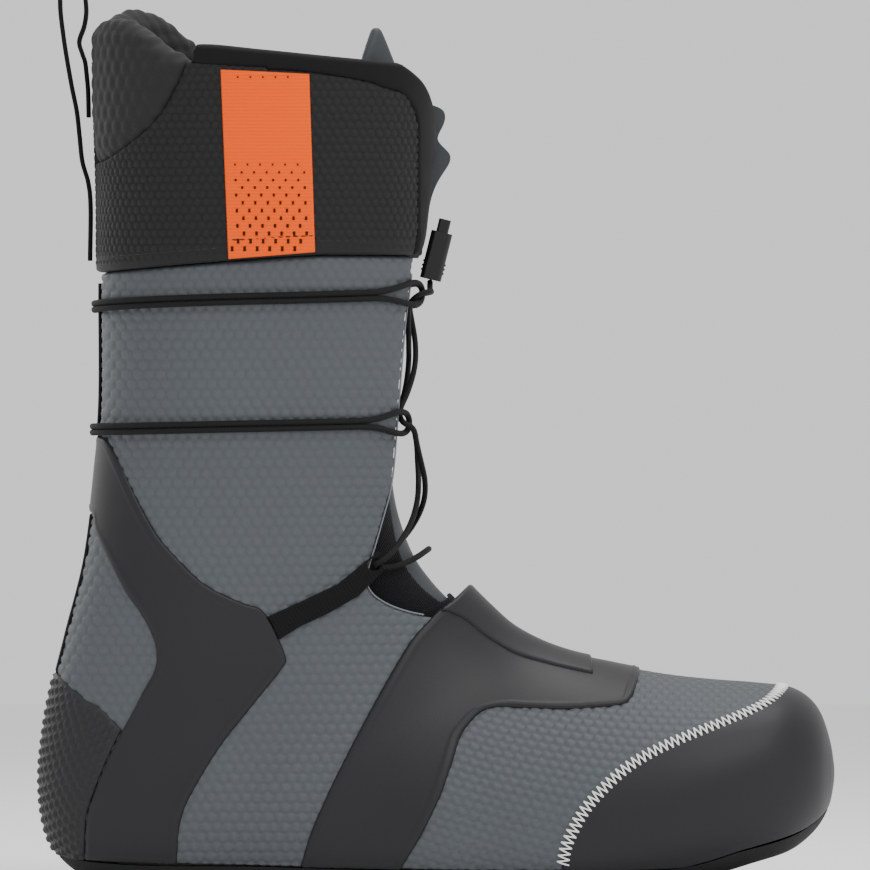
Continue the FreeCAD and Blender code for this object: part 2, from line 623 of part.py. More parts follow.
def shin_cord(top, droop):
    """Route of one shin cord: a closed loop round the back, its two ends eyelets for the lace."""
    radius = size("cord_size") / 2
    apart = radius + 0.1
    side = []
    for turn, rise in EYELET:
        side.append((turn, max(rise, apart) if turn > EYELET[0][0] else 0.0))
    for step in range(BAND_STEPS):
        side.append((BAND_START + (math.pi - BAND_START) * step / BAND_STEPS, apart))
    strands = []
    for sign in (1, -1):
        strand = []
        for turn, rise in side:
            share = min(max((turn - BACK_START) / (BACK_FULL - BACK_START), 0.0), 1.0)
            lift = 0.55 + share * (size("back_cord_size") + 0.5)
            point = skin_point(top + droop * turn / math.pi, turn, radius + lift)
            strand.append(V(point.x, point.y, point.z + sign * rise))
        strands.append(strand)
    upper, lower = strands
    flipped_upper = [V(point.x, -point.y, point.z) for point in upper]
    flipped_lower = [V(point.x, -point.y, point.z) for point in lower]
    return upper + flipped_upper[::-1] + flipped_lower[1:] + lower[:0:-1]


cord_size = size("cord_size")
add_piece("shin_cord_upper", tube("shin_cord_upper", shin_cord(2.92, 0.16), cord_size, True))
add_piece("shin_cord_lower", tube("shin_cord_lower", shin_cord(4.33, 0.07), cord_size, True))

back_size = size("back_cord_size")
back_route = []
for along in (2.84, 2.98, 3.2, 3.45, 3.7, 3.95, 4.2, 4.42):
    back_route.append(skin_point(along, math.pi, back_size / 2 + 0.02))
for point in back_route:
    point.y = 0
add_piece("back_cord", tube("back_cord", back_route, back_size))

# Lace from the lock down the lateral side first: x, y, z and how much of the crossing offset
# the same point takes on the way back up, where that strand lies over this one.
LACE_DOWN = [
    (-1.1, -2.6, 218.4, 0), (-1.2, -5.5, 215.6, 0), (-0.8, -12, 214.8, 0), (-0.6, -19.5, 214.8, 0),
    (-4.8, -23.4, 213.9, 0), (-8.8, -21.3, 210.4, 0), (-9.0, -14.5, 204.5, 0.5), (-8.8, -6, 196.5, 1),
    (-8.8, 3, 188, 1), (-10.2, 11, 178.5, 0.5), (-12.6, 17.5, 171, 0), (-11.2, 22.8, 167.2, 0),
    (-6.9, 21.8, 165.6, 0), (-5.9, 16.5, 159.5, 0), (-5.6, 10, 153, 0.5), (-5.2, 3, 146, 1), (-5.6, -5, 138.5, 1),
    (-8, -14, 130.5, 0.5), (-12.2, -23.5, 123.5, 0), (-16.6, -31, 118.4, 0), (-21.2, -31.6, 116, 0),
    (-20.8, -27, 115, 0), (-15.2, -22.8, 114.8, 0), (-7, -14.5, 117.6, 0), (-1.5, -5, 121.5, 0),
]
CROSSING_LIFT = 1.25     # in lace diameters
lace_route = [V(x, y, z) for x, y, z, share in LACE_DOWN]
for x, y, z, share in LACE_DOWN[::-1]:
    lace_route.append(V(x + share * CROSSING_LIFT * size("lace_size"), -y, z))
add_piece("lace", tube("lace", lace_route, size("lace_size")))


# ---------------------------------------------------------------- pull loop

def webbing(name, points):
    """Flat webbing edge-on in side view, along a drawn line."""
    half = size("loop_width") / 2
    add_piece(name, prism(strip(points, size("loop_wall")), -half, half))


BASE_LINE = [(-124.4, 226), (-124.2, 245), (-125, 254), (-127.2, 262), (-128.2, 271), (-129.2, 280),
             (-131, 289), (-132.6, 298)]
ANCHOR_LINE = [(-126.2, 298), (-125.6, 293), (-125.1, 287), (-124.9, 278)]
LOOP_LINE = [(-132.7, 298.5), (-134, 307), (-135.2, 318), (-134.6, 326.5), (-131, 331.6), (-127.4, 327),
             (-125.8, 318), (-126.4, 311.5), (-128.3, 305.5), (-127.2, 301), (-126.3, 298.5)]
webbing("pull_loop_base", BASE_LINE)
webbing("pull_loop_anchor", ANCHOR_LINE)
webbing("pull_loop", LOOP_LINE)

# ---------------------------------------------------------------- lace lock

LOCK_PLACE = FreeCAD.Placement(V(-1.0, 0, 219.2), FreeCAD.Rotation(V(0, 1, 0), 14))


def plane_of(body, role):
    """One of the body's own origin planes."""
    for feature in body.Origin.OriginFeatures:
        if feature.Role == role:
            return feature
    raise ValueError("no plane " + role)


def rectangle(body, name, height, width, depth):
    """Centred rectangle sketch on the body's ground plane; height, width and depth are expressions."""
    sketch = body.newObject("Sketcher::SketchObject", name)
    sketch.AttachmentSupport = [(plane_of(body, "XY_Plane"), "")]
    sketch.MapMode = "FlatFace"
    sketch.setExpression(".AttachmentOffset.Base.z", height)
    corners = [V(-4, -6, 0), V(4, -6, 0), V(4, 6, 0), V(-4, 6, 0)]
    for index in range(4):
        sketch.addGeometry(Part.LineSegment(corners[index], corners[(index + 1) % 4]), False)
    for index in range(4):
        sketch.addConstraint(Sketcher.Constraint("Coincident", index, 2, (index + 1) % 4, 1))
    for index, kind in enumerate(("Horizontal", "Vertical", "Horizontal", "Vertical")):
        sketch.addConstraint(Sketcher.Constraint(kind, index))
    sketch.addConstraint(Sketcher.Constraint("Symmetric", 0, 1, 1, 2, -1, 1))
    sketch.addConstraint(Sketcher.Constraint("DistanceX", 0, 1, 0, 2, 8))
    sketch.setExpression("Constraints[%d]" % (sketch.ConstraintCount - 1), depth)
    sketch.addConstraint(Sketcher.Constraint("DistanceY", 1, 1, 1, 2, 12))
    sketch.setExpression("Constraints[%d]" % (sketch.ConstraintCount - 1), width)
    return sketch


def padded_block(name, height, length, width, depth, rounding):
    """Body with one rounded block."""
    body = doc.addObject("PartDesign::Body", name)
    body.Label = name
    pad_feature = body.newObject("PartDesign::Pad", name + "_block")
    pad_feature.Profile = rectangle(body, name + "_outline", height, width, depth)
    pad_feature.setExpression("Length", length)
    doc.recompute()
    fillet = body.newObject("PartDesign::Fillet", name + "_rounding")
    uprights = []
    for index, edge in enumerate(pad_feature.Shape.Edges, start=1):
        if abs(edge.tangentAt(edge.FirstParameter).z) > 0.9:
            uprights.append("Edge%d" % index)
    fillet.Base = (pad_feature, uprights)
    fillet.Radius = rounding
    doc.recompute()
    return body


def pocket(body, name, sketch, length):
    """Pocket that cuts upwards from its sketch."""
    feature = body.newObject("PartDesign::Pocket", name)
    feature.Profile = sketch
    feature.setExpression("Length", length)
    feature.Reversed = True
    doc.recompute()
    return feature


LOCK_FLOOR = 5.0
BORE = 2.4
BORE_APART = 2.6
housing = padded_block("lock_housing", "0 mm", "<<sizes>>.lock_length", "<<sizes>>.lock_width",
                       "<<sizes>>.lock_depth", 1.6)
cavity = rectangle(housing, "cavity_outline", "%g mm" % LOCK_FLOOR, "<<sizes>>.lock_width - 2 * <<sizes>>.lock_wall",
                   "<<sizes>>.lock_depth - 2 * <<sizes>>.lock_wall")
pocket(housing, "cavity", cavity, "<<sizes>>.lock_length")
bores = housing.newObject("Sketcher::SketchObject", "bore_outline")
bores.AttachmentSupport = [(plane_of(housing, "XY_Plane"), "")]
bores.MapMode = "FlatFace"
for centre_y in (-BORE_APART, BORE_APART):
    bores.addGeometry(Part.Circle(V(0, centre_y, 0), V(0, 0, 1), BORE / 2), False)
pocket(housing, "bores", bores, "%g mm" % LOCK_FLOOR)
button_low = "<<sizes>>.lock_length + <<sizes>>.button_proud - <<sizes>>.button_length"
slack = "2 * <<sizes>>.lock_wall + 2 * <<sizes>>.button_play"
button = padded_block("lock_button", button_low, "<<sizes>>.button_length",
                      "<<sizes>>.lock_width - (%s)" % slack, "<<sizes>>.lock_depth - (%s)" % slack, 0.8)
for body in (housing, button):
    body.Placement = LOCK_PLACE
    PIECES.append(body)
doc.recompute()

button_foot = size("lock_length") + size("button_proud") - size("button_length")
spring_room = button_foot - LOCK_FLOOR
wire_size = size("spring_wire")
helix = Part.makeHelix((spring_room - wire_size - 0.1) / 4, spring_room - wire_size - 0.1, size("spring_size") / 2)
helix.translate(V(0, 0, LOCK_FLOOR + wire_size / 2 + 0.05))
start = helix.Edges[0].valueAt(helix.Edges[0].FirstParameter)
way = helix.Edges[0].tangentAt(helix.Edges[0].FirstParameter)
coil = helix.makePipeShell([Part.Wire([Part.makeCircle(wire_size / 2, start, way)])], True, True)
add_piece("lock_spring", coil)
PIECES[-1].Placement = LOCK_PLACE

# ---------------------------------------------------------------- checks and export

doc.recompute()
for thing in doc.Objects:
    for state in ("Invalid", "Error"):
        if state in thing.State:
            raise RuntimeError(thing.Name + " is " + state)
os.makedirs("parts", exist_ok=True)
for piece in PIECES:
    shape = piece.Shape
    if shape.isNull() or not shape.isValid():
        raise RuntimeError(piece.Label + " has no valid shape")
    shape.exportStep("parts/" + piece.Label + ".step")
print(len(PIECES), "pieces")
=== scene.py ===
"""Boot liner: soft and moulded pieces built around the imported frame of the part."""

import math

import bmesh
import bpy
import numpy as np
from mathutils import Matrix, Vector, kdtree


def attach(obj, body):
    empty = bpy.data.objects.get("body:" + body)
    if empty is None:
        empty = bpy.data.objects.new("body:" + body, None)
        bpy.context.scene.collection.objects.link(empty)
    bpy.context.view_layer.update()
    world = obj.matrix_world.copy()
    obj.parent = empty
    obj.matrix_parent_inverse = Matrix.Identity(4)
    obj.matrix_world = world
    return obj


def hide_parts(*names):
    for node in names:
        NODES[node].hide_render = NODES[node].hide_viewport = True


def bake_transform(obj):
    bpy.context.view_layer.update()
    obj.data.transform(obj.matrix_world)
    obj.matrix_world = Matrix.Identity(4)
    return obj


bl_info = {
    "name": "Boot Liner Pieces",
    "version": (1, 0, 0),
    "blender": (4, 5, 0),
    "location": "View3D > Sidebar > Boot Liner",
    "description": "Builds the foam, fabric, rubber, cord and webbing pieces of a boot liner",
    "category": "Object",
}

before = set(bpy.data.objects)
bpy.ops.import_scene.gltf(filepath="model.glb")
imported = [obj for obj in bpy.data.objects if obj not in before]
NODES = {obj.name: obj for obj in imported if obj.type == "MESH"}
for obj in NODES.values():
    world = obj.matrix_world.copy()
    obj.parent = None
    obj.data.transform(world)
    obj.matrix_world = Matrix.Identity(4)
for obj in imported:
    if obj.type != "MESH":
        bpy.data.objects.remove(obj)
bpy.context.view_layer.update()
MM = 0.001

# ---------------------------------------------------------------- the foot-shaped skin (mm)

BOOT_WIDTHS = {"shaft": 104.0, "heel": 76.0, "ball": 102.0}
FOAM, LINING, TONGUE_OUT = -5.5, -7.0, -7.6
OVERLAY, RIDGE, CUFF, BINDING = 1.2, 2.2, 2.2, 2.9

# back or bottom point, front or top point, width and share of it, belly, roundness low and high
STATIONS = [
    ((-121, 335), (0, 335), "shaft", 1.02, 0.50, 2.3, 2.4),
    ((-121, 284), (0, 284), "shaft", 1.00, 0.50, 2.3, 2.4),
    ((-120, 248), (-1, 248), "shaft", 0.98, 0.50, 2.3, 2.4),
    ((-120, 212), (-3, 212), "shaft", 0.94, 0.50, 2.3, 2.4),
    ((-120, 175), (-7, 175), "shaft", 0.885, 0.50, 2.3, 2.4),
    ((-122, 150), (-8, 157), "shaft", 0.845, 0.50, 2.3, 2.4),
    ((-126, 118), (-6, 139), "shaft", 0.805, 0.50, 2.3, 2.3),
    ((-133, 90), (-1, 124), "heel", 1.05, 0.48, 2.3, 2.2),
    ((-139.5, 62.5), (5, 115), "heel", 1.01, 0.46, 2.3, 2.1),
    ((-142, 36), (12, 107.5), "heel", 1.00, 0.44, 2.4, 2.05),
    ((-138, 15), (19, 100.5), "heel", 1.00, 0.42, 2.6, 2.0),
    ((-125, 3), (28, 92.5), "heel", 1.02, 0.40, 2.9, 2.0),
    ((-102.5, -1.5), (39, 86.5), "heel", 1.05, 0.38, 3.2, 1.95),
    ((-70, -2), (50.5, 82.5), "ball", 0.81, 0.36, 3.4, 1.95),
    ((-30, -2), (62.5, 80), "ball", 0.87, 0.34, 3.5, 1.95),
    ((10, -2), (75, 77.5), "ball", 0.945, 0.33, 3.6, 2.0),
    ((46, -2), (87.5, 75.5), "ball", 1.00, 0.32, 3.6, 2.05),
    ((75, 0), (102, 74), "ball", 1.01, 0.33, 3.4, 2.1),
    ((98.5, 3.5), (115.5, 73), "ball", 0.96, 0.36, 3.0, 2.2),
    ((116.5, 8.5), (127.5, 71.5), "ball", 0.865, 0.40, 2.7, 2.3),
    ((129.5, 13), (135, 68), "ball", 0.73, 0.44, 2.5, 2.3),
    ((138.5, 20.5), (140, 62), "ball", 0.55, 0.47, 2.4, 2.3),
    ((143, 28.5), (143.3, 52.5), "ball", 0.32, 0.50, 2.3, 2.2),
    ((144.6, 35.5), (144.7, 44.5), "ball", 0.14, 0.50, 2.2, 2.2),
]
LAST = len(STATIONS) - 1
NUDGE = 0.02
ROWS = np.array([
    [back[0], back[1], front[0], front[1], BOOT_WIDTHS[width] / 2 * share, belly, low, high]
    for back, front, width, share, belly, low, high in STATIONS
], float)


def blended_rows(along):
    """Station values at places between stations, by a smooth blend."""
    first = np.clip(np.floor(along).astype(int), 0, LAST - 1)
    part = (along - first)[..., None]
    p0, p1, p2, p3 = (ROWS[np.clip(first + step, 0, LAST)] for step in (-1, 0, 1, 2))
    bend = 2 * p0 - 5 * p1 + 4 * p2 - p3
    twist = 3 * (p1 - p2) + p3 - p0
    return p1 + 0.5 * part * (p2 - p0 + part * (bend + part * twist))


def bare_points(along, turn):
    """Points of the foam's outer surface.

    turn is 0 at the front or top and pi at the back or sole."""
    along, turn = np.broadcast_arrays(np.asarray(along, float), np.asarray(turn, float))
    v = blended_rows(along)
    cosine, sine = np.cos(turn), np.sin(turn)
    upper = cosine >= 0
    power = np.where(upper, 2 / v[..., 7], 2 / v[..., 6])
    lift = np.abs(cosine) ** power
    belly = v[..., 5]
    reach = np.where(upper, belly + (1 - belly) * lift, belly - belly * lift)
    side = np.sign(sine) * np.abs(sine) ** power * v[..., 4]
    x = v[..., 0] + (v[..., 2] - v[..., 0]) * reach
    z = v[..., 1] + (v[..., 3] - v[..., 1]) * reach
    return np.stack([x, side, z], -1)


def skin_normals(along, turn):
    """Outward directions of the skin."""
    along_step = bare_points(along + NUDGE, turn) - bare_points(along - NUDGE, turn)
    turn_step = bare_points(along, turn + NUDGE) - bare_points(along, turn - NUDGE)
    normal = np.cross(along_step, turn_step)
    return normal / np.maximum(np.linalg.norm(normal, axis=-1, keepdims=True), 1e-9)


def skin_point(along, turn, offset):
    """One skin point moved outwards by offset."""
    along, turn = np.array(float(along)), np.array(float(turn))
    return bare_points(along, turn) + skin_normals(along, turn) * offset


# ---------------------------------------------------------------- outlines in side view (mm)

FEATHER = [(-155, 13.5), (-135, 10), (-125, 8.7), (-66, 7.2), (-37, 6.4), (24, 5.4), (82, 6),
           (96, 8),
           (109, 12), (133, 19.5), (145, 29), (156, 42)]
HEM = [(-140, 220.5), (-122, 221.8), (-92, 224), (-60, 226.4), (-40, 227.6)]
HEM_LEVEL = 227.6
CUFF_EDGE = [(-86.6, 301.6), (-83.4, 303.4), (-60, 301.3), (-36, 299), (-11, 296.9), (20, 294)]
BINDING_EDGE = [(-87, 296.2), (-77, 295.4), (-43.5, 293.6), (-22, 290.7), (-15, 288.6), (20, 286)]
PAD_SEAM = [(-123, 259.6), (-116.4, 262), (-108.8, 267.2), (-102, 272.6), (-96, 279.5),
            (-91.3, 288),
            (-88.5, 294), (-87, 299)]
PAD_TOP_LATERAL = [(-87, 299), (-94.6, 300.8), (-102, 306), (-108.8, 310.7), (-115.6, 313.6),
                   (-120.3, 313.6), (-124.7, 310.7), (-127, 304.5)]
PAD_TOP_MEDIAL = [(-87, 299), (-89, 306.3), (-94.6, 310), (-101, 315), (-107.3, 317.6),
                  (-113.5, 318.3),
                  (-118.5, 316.6), (-122, 313.6), (-125, 309), (-127, 304.5)]
HARNESS_FRONT = [(-132, 162.8), (-121, 162.8), (-117.8, 160), (-113.5, 152), (-107.3, 139.4),
                 (-100.4, 127.6), (-94, 120), (-82.3, 109), (-68.5, 102.2), (-62.7, 100.4),
                 (-59.4, 97), (-56.5, 91.5), (-53, 82.6), (-54.6, 78.3), (-64.2, 66.3),
                 (-76.8, 50.4),
                 (-87, 33.7), (-90.6, 25.4), (-92, 17.8), (-92.8, 0)]
HARNESS_BACK = [(-126.4, 0), (-126, 16.3), (-125.4, 24.6), (-123.2, 32.3), (-117, 47.5),
                (-108.8, 62.7),
                (-104.4, 71), (-100.4, 78.3), (-100, 85.2), (-102, 91.7), (-105.8, 98.6),
                (-111.3, 106),
                (-117, 116.4), (-122.2, 127), (-124.3, 134.5), (-132, 134.5)]
HEEL_CUP_TOP = [(-148, 84), (-140.7, 80.8), (-135.6, 75.4), (-126, 67.4), (-120.3, 64.2),
                (-112.5, 56.5)]
HEEL_CUP_FRONT = [(-112.5, 56.5), (-117, 47.5), (-123.2, 32.3), (-125.4, 24.6), (-126, 16.3),
                  (-126.4, 0)]
OVERLAY_BACK = [(-49.5, 0), (-45, 17), (-39, 31.5), (-34, 42), (-27.6, 54.4), (-20.5, 67.4),
                (-14, 78.7),
                (-7.6, 88.8), (-1.8, 95.3), (2.5, 99.5), (8.3, 103.7), (14.5, 110)]
OVERLAY_FRONT = [(76, 82), (74.7, 77.2), (73, 71.8), (71, 68), (68, 66.3), (60, 65.4), (48, 64.6),
                 (34, 64.9), (24.6, 65.2), (18, 63.8), (13.2, 59.4), (9.8, 54.4), (7, 45.7),
                 (2.5, 33),
                 (-3.3, 20.7), (-10.5, 8), (-14.5, 0)]
RIDGE_EDGE = [(3.5, 99.5), (6.2, 99), (12, 96.5), (18, 91.7), (24, 87.7), (31, 84), (42, 80.8),
              (51, 78.7),
              (56.5, 77.6), (58, 78), (57.5, 84)]
VAMP_SEAM = [(2, 97.2), (-12, 62), (-28, 20), (-34, -12)]
TOE_SEAM = [(128, 80), (127, 73), (124, 69), (118.5, 65), (109.5, 61), (99, 57), (89.5, 53.3),
            (80.5, 49.3),
            (71.4, 44.2), (63, 37.3), (55, 28.6), (49.7, 19.6), (47, 11.6), (46, 0)]
STRAP = [(-60, 97), (-48.2, 102.2), (-33.7, 109), (-24.6, 116.5), (-19.2, 120.6), (-17, 114.6),
         (-26.5, 104.8),
         (-37.3, 98.6), (-48.2, 93.5), (-56, 88.5)]
LABEL = [(-76.5, 294.2), (-44.4, 292.6), (-42.3, 228.5), (-73.7, 226)]
TONGUE_BACK = [(-34, 268), (-34, 230), (-33, 200), (-31, 170), (-28, 145), (-22, 125), (-14, 112),
               (-2, 104)]
TONGUE_TIP = [(-12, 295), (-17.4, 308), (-19.2, 309.6), (-20.7, 308), (-24.6, 298), (-30, 280.6)]
THROAT = [(0, 106), (12, 102), (20, 97.5), (26.5, 100.5), (30.3, 108), (30.5, 117), (28.3, 131),
          (25.2, 143),
          (23.3, 155), (23.2, 170), (25, 189), (26, 206), (24.7, 227), (21.8, 241), (17.5, 256),
          (14.8, 268),
          (16.6, 278), (22, 285), (27.5, 290), (34, 294), (41, 298)]
GUSSET_INNER = [(0, 98), (9, 101), (14, 112), (16, 124), (16, 152)]


def smooth_line(points, steps=6):
    """Points on a smooth curve through the given ones."""
    p = np.array(points, float)
    if len(p) < 3:
        return p
    padded = np.vstack([2 * p[0] - p[1], p, 2 * p[-1] - p[-2]])
    out = []
    for i in range(1, len(padded) - 2):
        p0, p1, p2, p3 = padded[i - 1:i + 3]
        for t in np.arange(steps) / steps:
            out.append(p1 + 0.5 * t * (p2 - p0 + t
                                       * (2 * p0 - 5 * p1 + 4 * p2 - p3 + t
                                          * (3 * (p1 - p2) + p3 - p0))))
    out.append(p[-1])
    return np.array(out)


def outline(*stretches):
    """Closed outline of smooth lines and single corners in turn."""
    return np.vstack([smooth_line(part) if len(part) > 2 else np.array(part, float)
                      for part in stretches])


def inside(shape, a, b):
    """Signed distance of points to a closed outline, positive inside."""
    nearest = np.full(a.shape, 1e9)
    crossing = np.zeros(a.shape, bool)
    for (x0, y0), (x1, y1) in zip(shape, np.roll(shape, -1, 0)):
        run_x, run_y = x1 - x0, y1 - y0
        length = run_x * run_x + run_y * run_y
        if length < 1e-12:
            continue
        share = np.clip(((a - x0) * run_x + (b - y0) * run_y) / length, 0, 1)
        nearest = np.minimum(nearest, (a - x0 - share * run_x) ** 2 + (b - y0 - share * run_y) ** 2)
        if y0 != y1:
            crossing ^= ((b < y0) != (b < y1)) & (a < x0 + (b - y0) * run_x / run_y)
    return np.where(crossing, 1, -1) * np.sqrt(nearest)


ABOVE_FEATHER = outline(FEATHER, [(160, 345), (-160, 345)])
THROAT_SHAPE = outline(THROAT, [(41, 400), (-60, 400), (-60, 106)])
WIDE_THROAT = outline([(y + 5.6, z) for y, z in THROAT], [(46.6, 400), (-60, 400), (-60, 106)])
BELOW_HEM = outline([(-160, -12), (-160, 220)], HEM, [(160, HEM_LEVEL), (160, -12)])
BEHIND_SEAM = outline([(-160, -12), (-160, 240)], [(2, 240)], VAMP_SEAM)
TOE_ZONE = outline(TOE_SEAM, [(46, -12), (170, -12)], [(170, 120), (128, 120)])
BELOW_EDGE = outline(HEM, [(60, HEM_LEVEL), (60, 290)], [(20, 294)], CUFF_EDGE[::-1],
                     [(-160, 296.2), (-160, 220.5)])
BELOW_BINDING = outline(HEM, [(60, HEM_LEVEL), (60, 280)], [(20, 286)], BINDING_EDGE[::-1],
                        [(-160, 296.2), (-160, 220.5)])
PAD_HOLE = outline(PAD_SEAM, [(-87, 340), (-160, 340)], [(-160, 257)])
HARNESS_ZONE = outline(HARNESS_FRONT, [(-92.8, -12), (-126.4, -12)], HARNESS_BACK)
HEEL_ZONE = outline(HEEL_CUP_TOP, HEEL_CUP_FRONT, [(-126.4, -12), (-160, -12)])
INSTEP_ZONE = outline(OVERLAY_BACK, [(40, 112), (76, 92)], OVERLAY_FRONT,
                      [(-14.5, -12), (-49.5, -12)])
RIDGE_ZONE = outline(RIDGE_EDGE, [(57.5, 112), (3.5, 112)])
TONGUE_ZONE = outline(TONGUE_BACK[::-1], TONGUE_TIP[::-1], [(60, 295), (60, 100)], [(3, 100)])
GUSSET_HOLE = outline(GUSSET_INNER, [(16, 400), (-60, 400)], [(-60, 98)])
PAD_LEFT = [(-140, 303), (-140, 257)]
PAD_LATERAL = outline(PAD_SEAM, PAD_TOP_LATERAL, PAD_LEFT)
PAD_MEDIAL = outline(PAD_SEAM, PAD_TOP_MEDIAL, PAD_LEFT)


TAPE_FRONT = -5.5    # the edge tape's inner edge down the front of each flap
TAPE_CORNER = 14.0


def side(shape, p):
    """Distance inside a side-view outline."""
    return inside(shape, p[:, 0], p[:, 2])


def throat(p, shape=THROAT_SHAPE):
    """Distance inside the open throat, seen from the front."""
    return np.where(p[:, 0] > -60, inside(shape, np.abs(p[:, 1]), p[:, 2]), -50.0)


def least(*distances):
    """Overlap of regions."""
    return np.minimum.reduce(distances)


def quarter_region(p):
    return least(side(BELOW_HEM, p), side(BEHIND_SEAM, p), side(ABOVE_FEATHER, p), -throat(p))


def vamp_region(p):
    return least(-side(BEHIND_SEAM, p), side(ABOVE_FEATHER, p), -side(TOE_ZONE, p) + 1, -throat(p),
                 120 - p[:, 2])


def edge_region(p):
    return least(side(BELOW_EDGE, p), -throat(p),
                 np.maximum(-side(PAD_HOLE, p), 7 - np.abs(p[:, 1])))


def tape_edge(p):
    """Distance behind the edge tape's inner edge.

    The edge runs along the top and down the front, with a rounded corner."""
    below = side(BELOW_BINDING, p)
    behind = least(-throat(p, WIDE_THROAT), TAPE_FRONT - p[:, 0])
    rounded = TAPE_CORNER - np.hypot(np.maximum(TAPE_CORNER - below, 0),
                                     np.maximum(TAPE_CORNER - behind, 0))
    return np.where((below < TAPE_CORNER) & (behind < TAPE_CORNER) & (p[:, 2] > 260), rounded,
                    least(below, behind))


def cuff_region(p):
    return least(tape_edge(p) + 1.2, side(BELOW_EDGE, p),
                 np.maximum(-side(PAD_HOLE, p) + 1.5, 7 - np.abs(p[:, 1])))


def binding_region(p):
    return least(edge_region(p), -tape_edge(p))


def gusset_region(p):
    return least(throat(p) + 2, -inside(GUSSET_HOLE, np.abs(p[:, 1]), p[:, 2]), 152 - p[:, 2],
                 p[:, 0] + 60)


# ---------------------------------------------------------------- surface patterns (mm)

def staggered(a, b, pitch, row=0.866):
    """Distances, in pitches, to the nearest and second centre of a staggered pattern."""
    found = []
    for shift_a, shift_b in ((0, 0), (0.5, 0.5)):
        across = a / pitch + shift_a
        up = b / (2 * row * pitch) + shift_b
        part_a = across - np.floor(across)
        part_b = up - np.floor(up)
        for corner_a in (0, 1):
            for corner_b in (0, 1):
                found.append(np.hypot(part_a - corner_a, (part_b - corner_b) * 2 * row))
    found = np.sort(np.array(found), 0)
    return found[0], found[1]


def ease(low, high, value):
    """Smooth step from 0 to 1."""
    share = np.clip((value - low) / (high - low), 0, 1)
    return share * share * (3 - 2 * share)


def pillows(a, b, pitch, height):
    """Raised soft hexagons with narrow valleys."""
    first, second = staggered(a, b, pitch)
    return height * (ease(0, 0.42, second - first) - 0.5)


def studs(a, b, pitch, height):
    """Round studs."""
    first = staggered(a, b, pitch, 0.9)[0]
    return height * (1 - ease(0.16, 0.36, first))


# ---------------------------------------------------------------- mesh building

def new_mesh(name, points, faces, material, smooth=True):
    """Mesh object from points in mm."""
    mesh = bpy.data.meshes.new(name)
    mesh.from_pydata((np.asarray(points) * MM).tolist(), [], faces)
    mesh.materials.append(material)
    mesh.update()
    if smooth:
        mesh.shade_smooth()
    piece = bpy.data.objects.new(name, mesh)
    bpy.context.scene.collection.objects.link(piece)
    return piece


def skin_grid(rows, turns, pitch):
    """Even grid on the skin: places along and round it, and its two surface distances."""
    along = np.linspace(rows[0], rows[1], 700)
    probes = np.linspace(turns[0], turns[1], 9)
    steps = []
    for probe in probes:
        line = bare_points(along, probe)
        steps.append(np.linalg.norm(np.diff(line, axis=0), axis=1))
    mean_step = 0.5 * (np.mean(steps, 0) + np.max(steps, 0))
    total = np.concatenate([[0], np.cumsum(mean_step)])
    count = max(int(total[-1] / pitch), 4)
    even = np.linspace(0, total[-1], count + 1)
    row_places = np.interp(even, total, along)
    table = np.linspace(turns[0], turns[1], 721)
    ring = bare_points(row_places[:, None], table[None, :])
    ring_steps = np.linalg.norm(np.diff(ring, axis=1), axis=2)
    ring_total = np.concatenate([np.zeros((len(row_places), 1)), np.cumsum(ring_steps, 1)], 1)
    columns = max(int(ring_total[:, -1].max() / pitch), 4)
    shares = np.linspace(0, 1, columns + 1)
    turn_places = np.array([np.interp(shares * lengths[-1], lengths, table)
                            for lengths in ring_total])
    middle = 0.5 * (turns[0] + turns[1])
    centred = np.array([np.interp(middle, table, lengths) for lengths in ring_total])
    round_mm = shares[None, :] * ring_total[:, -1:] - centred[:, None]
    along_mm = np.broadcast_to(even[:, None], round_mm.shape)
    return np.broadcast_to(row_places[:, None], turn_places.shape), turn_places, along_mm, round_mm


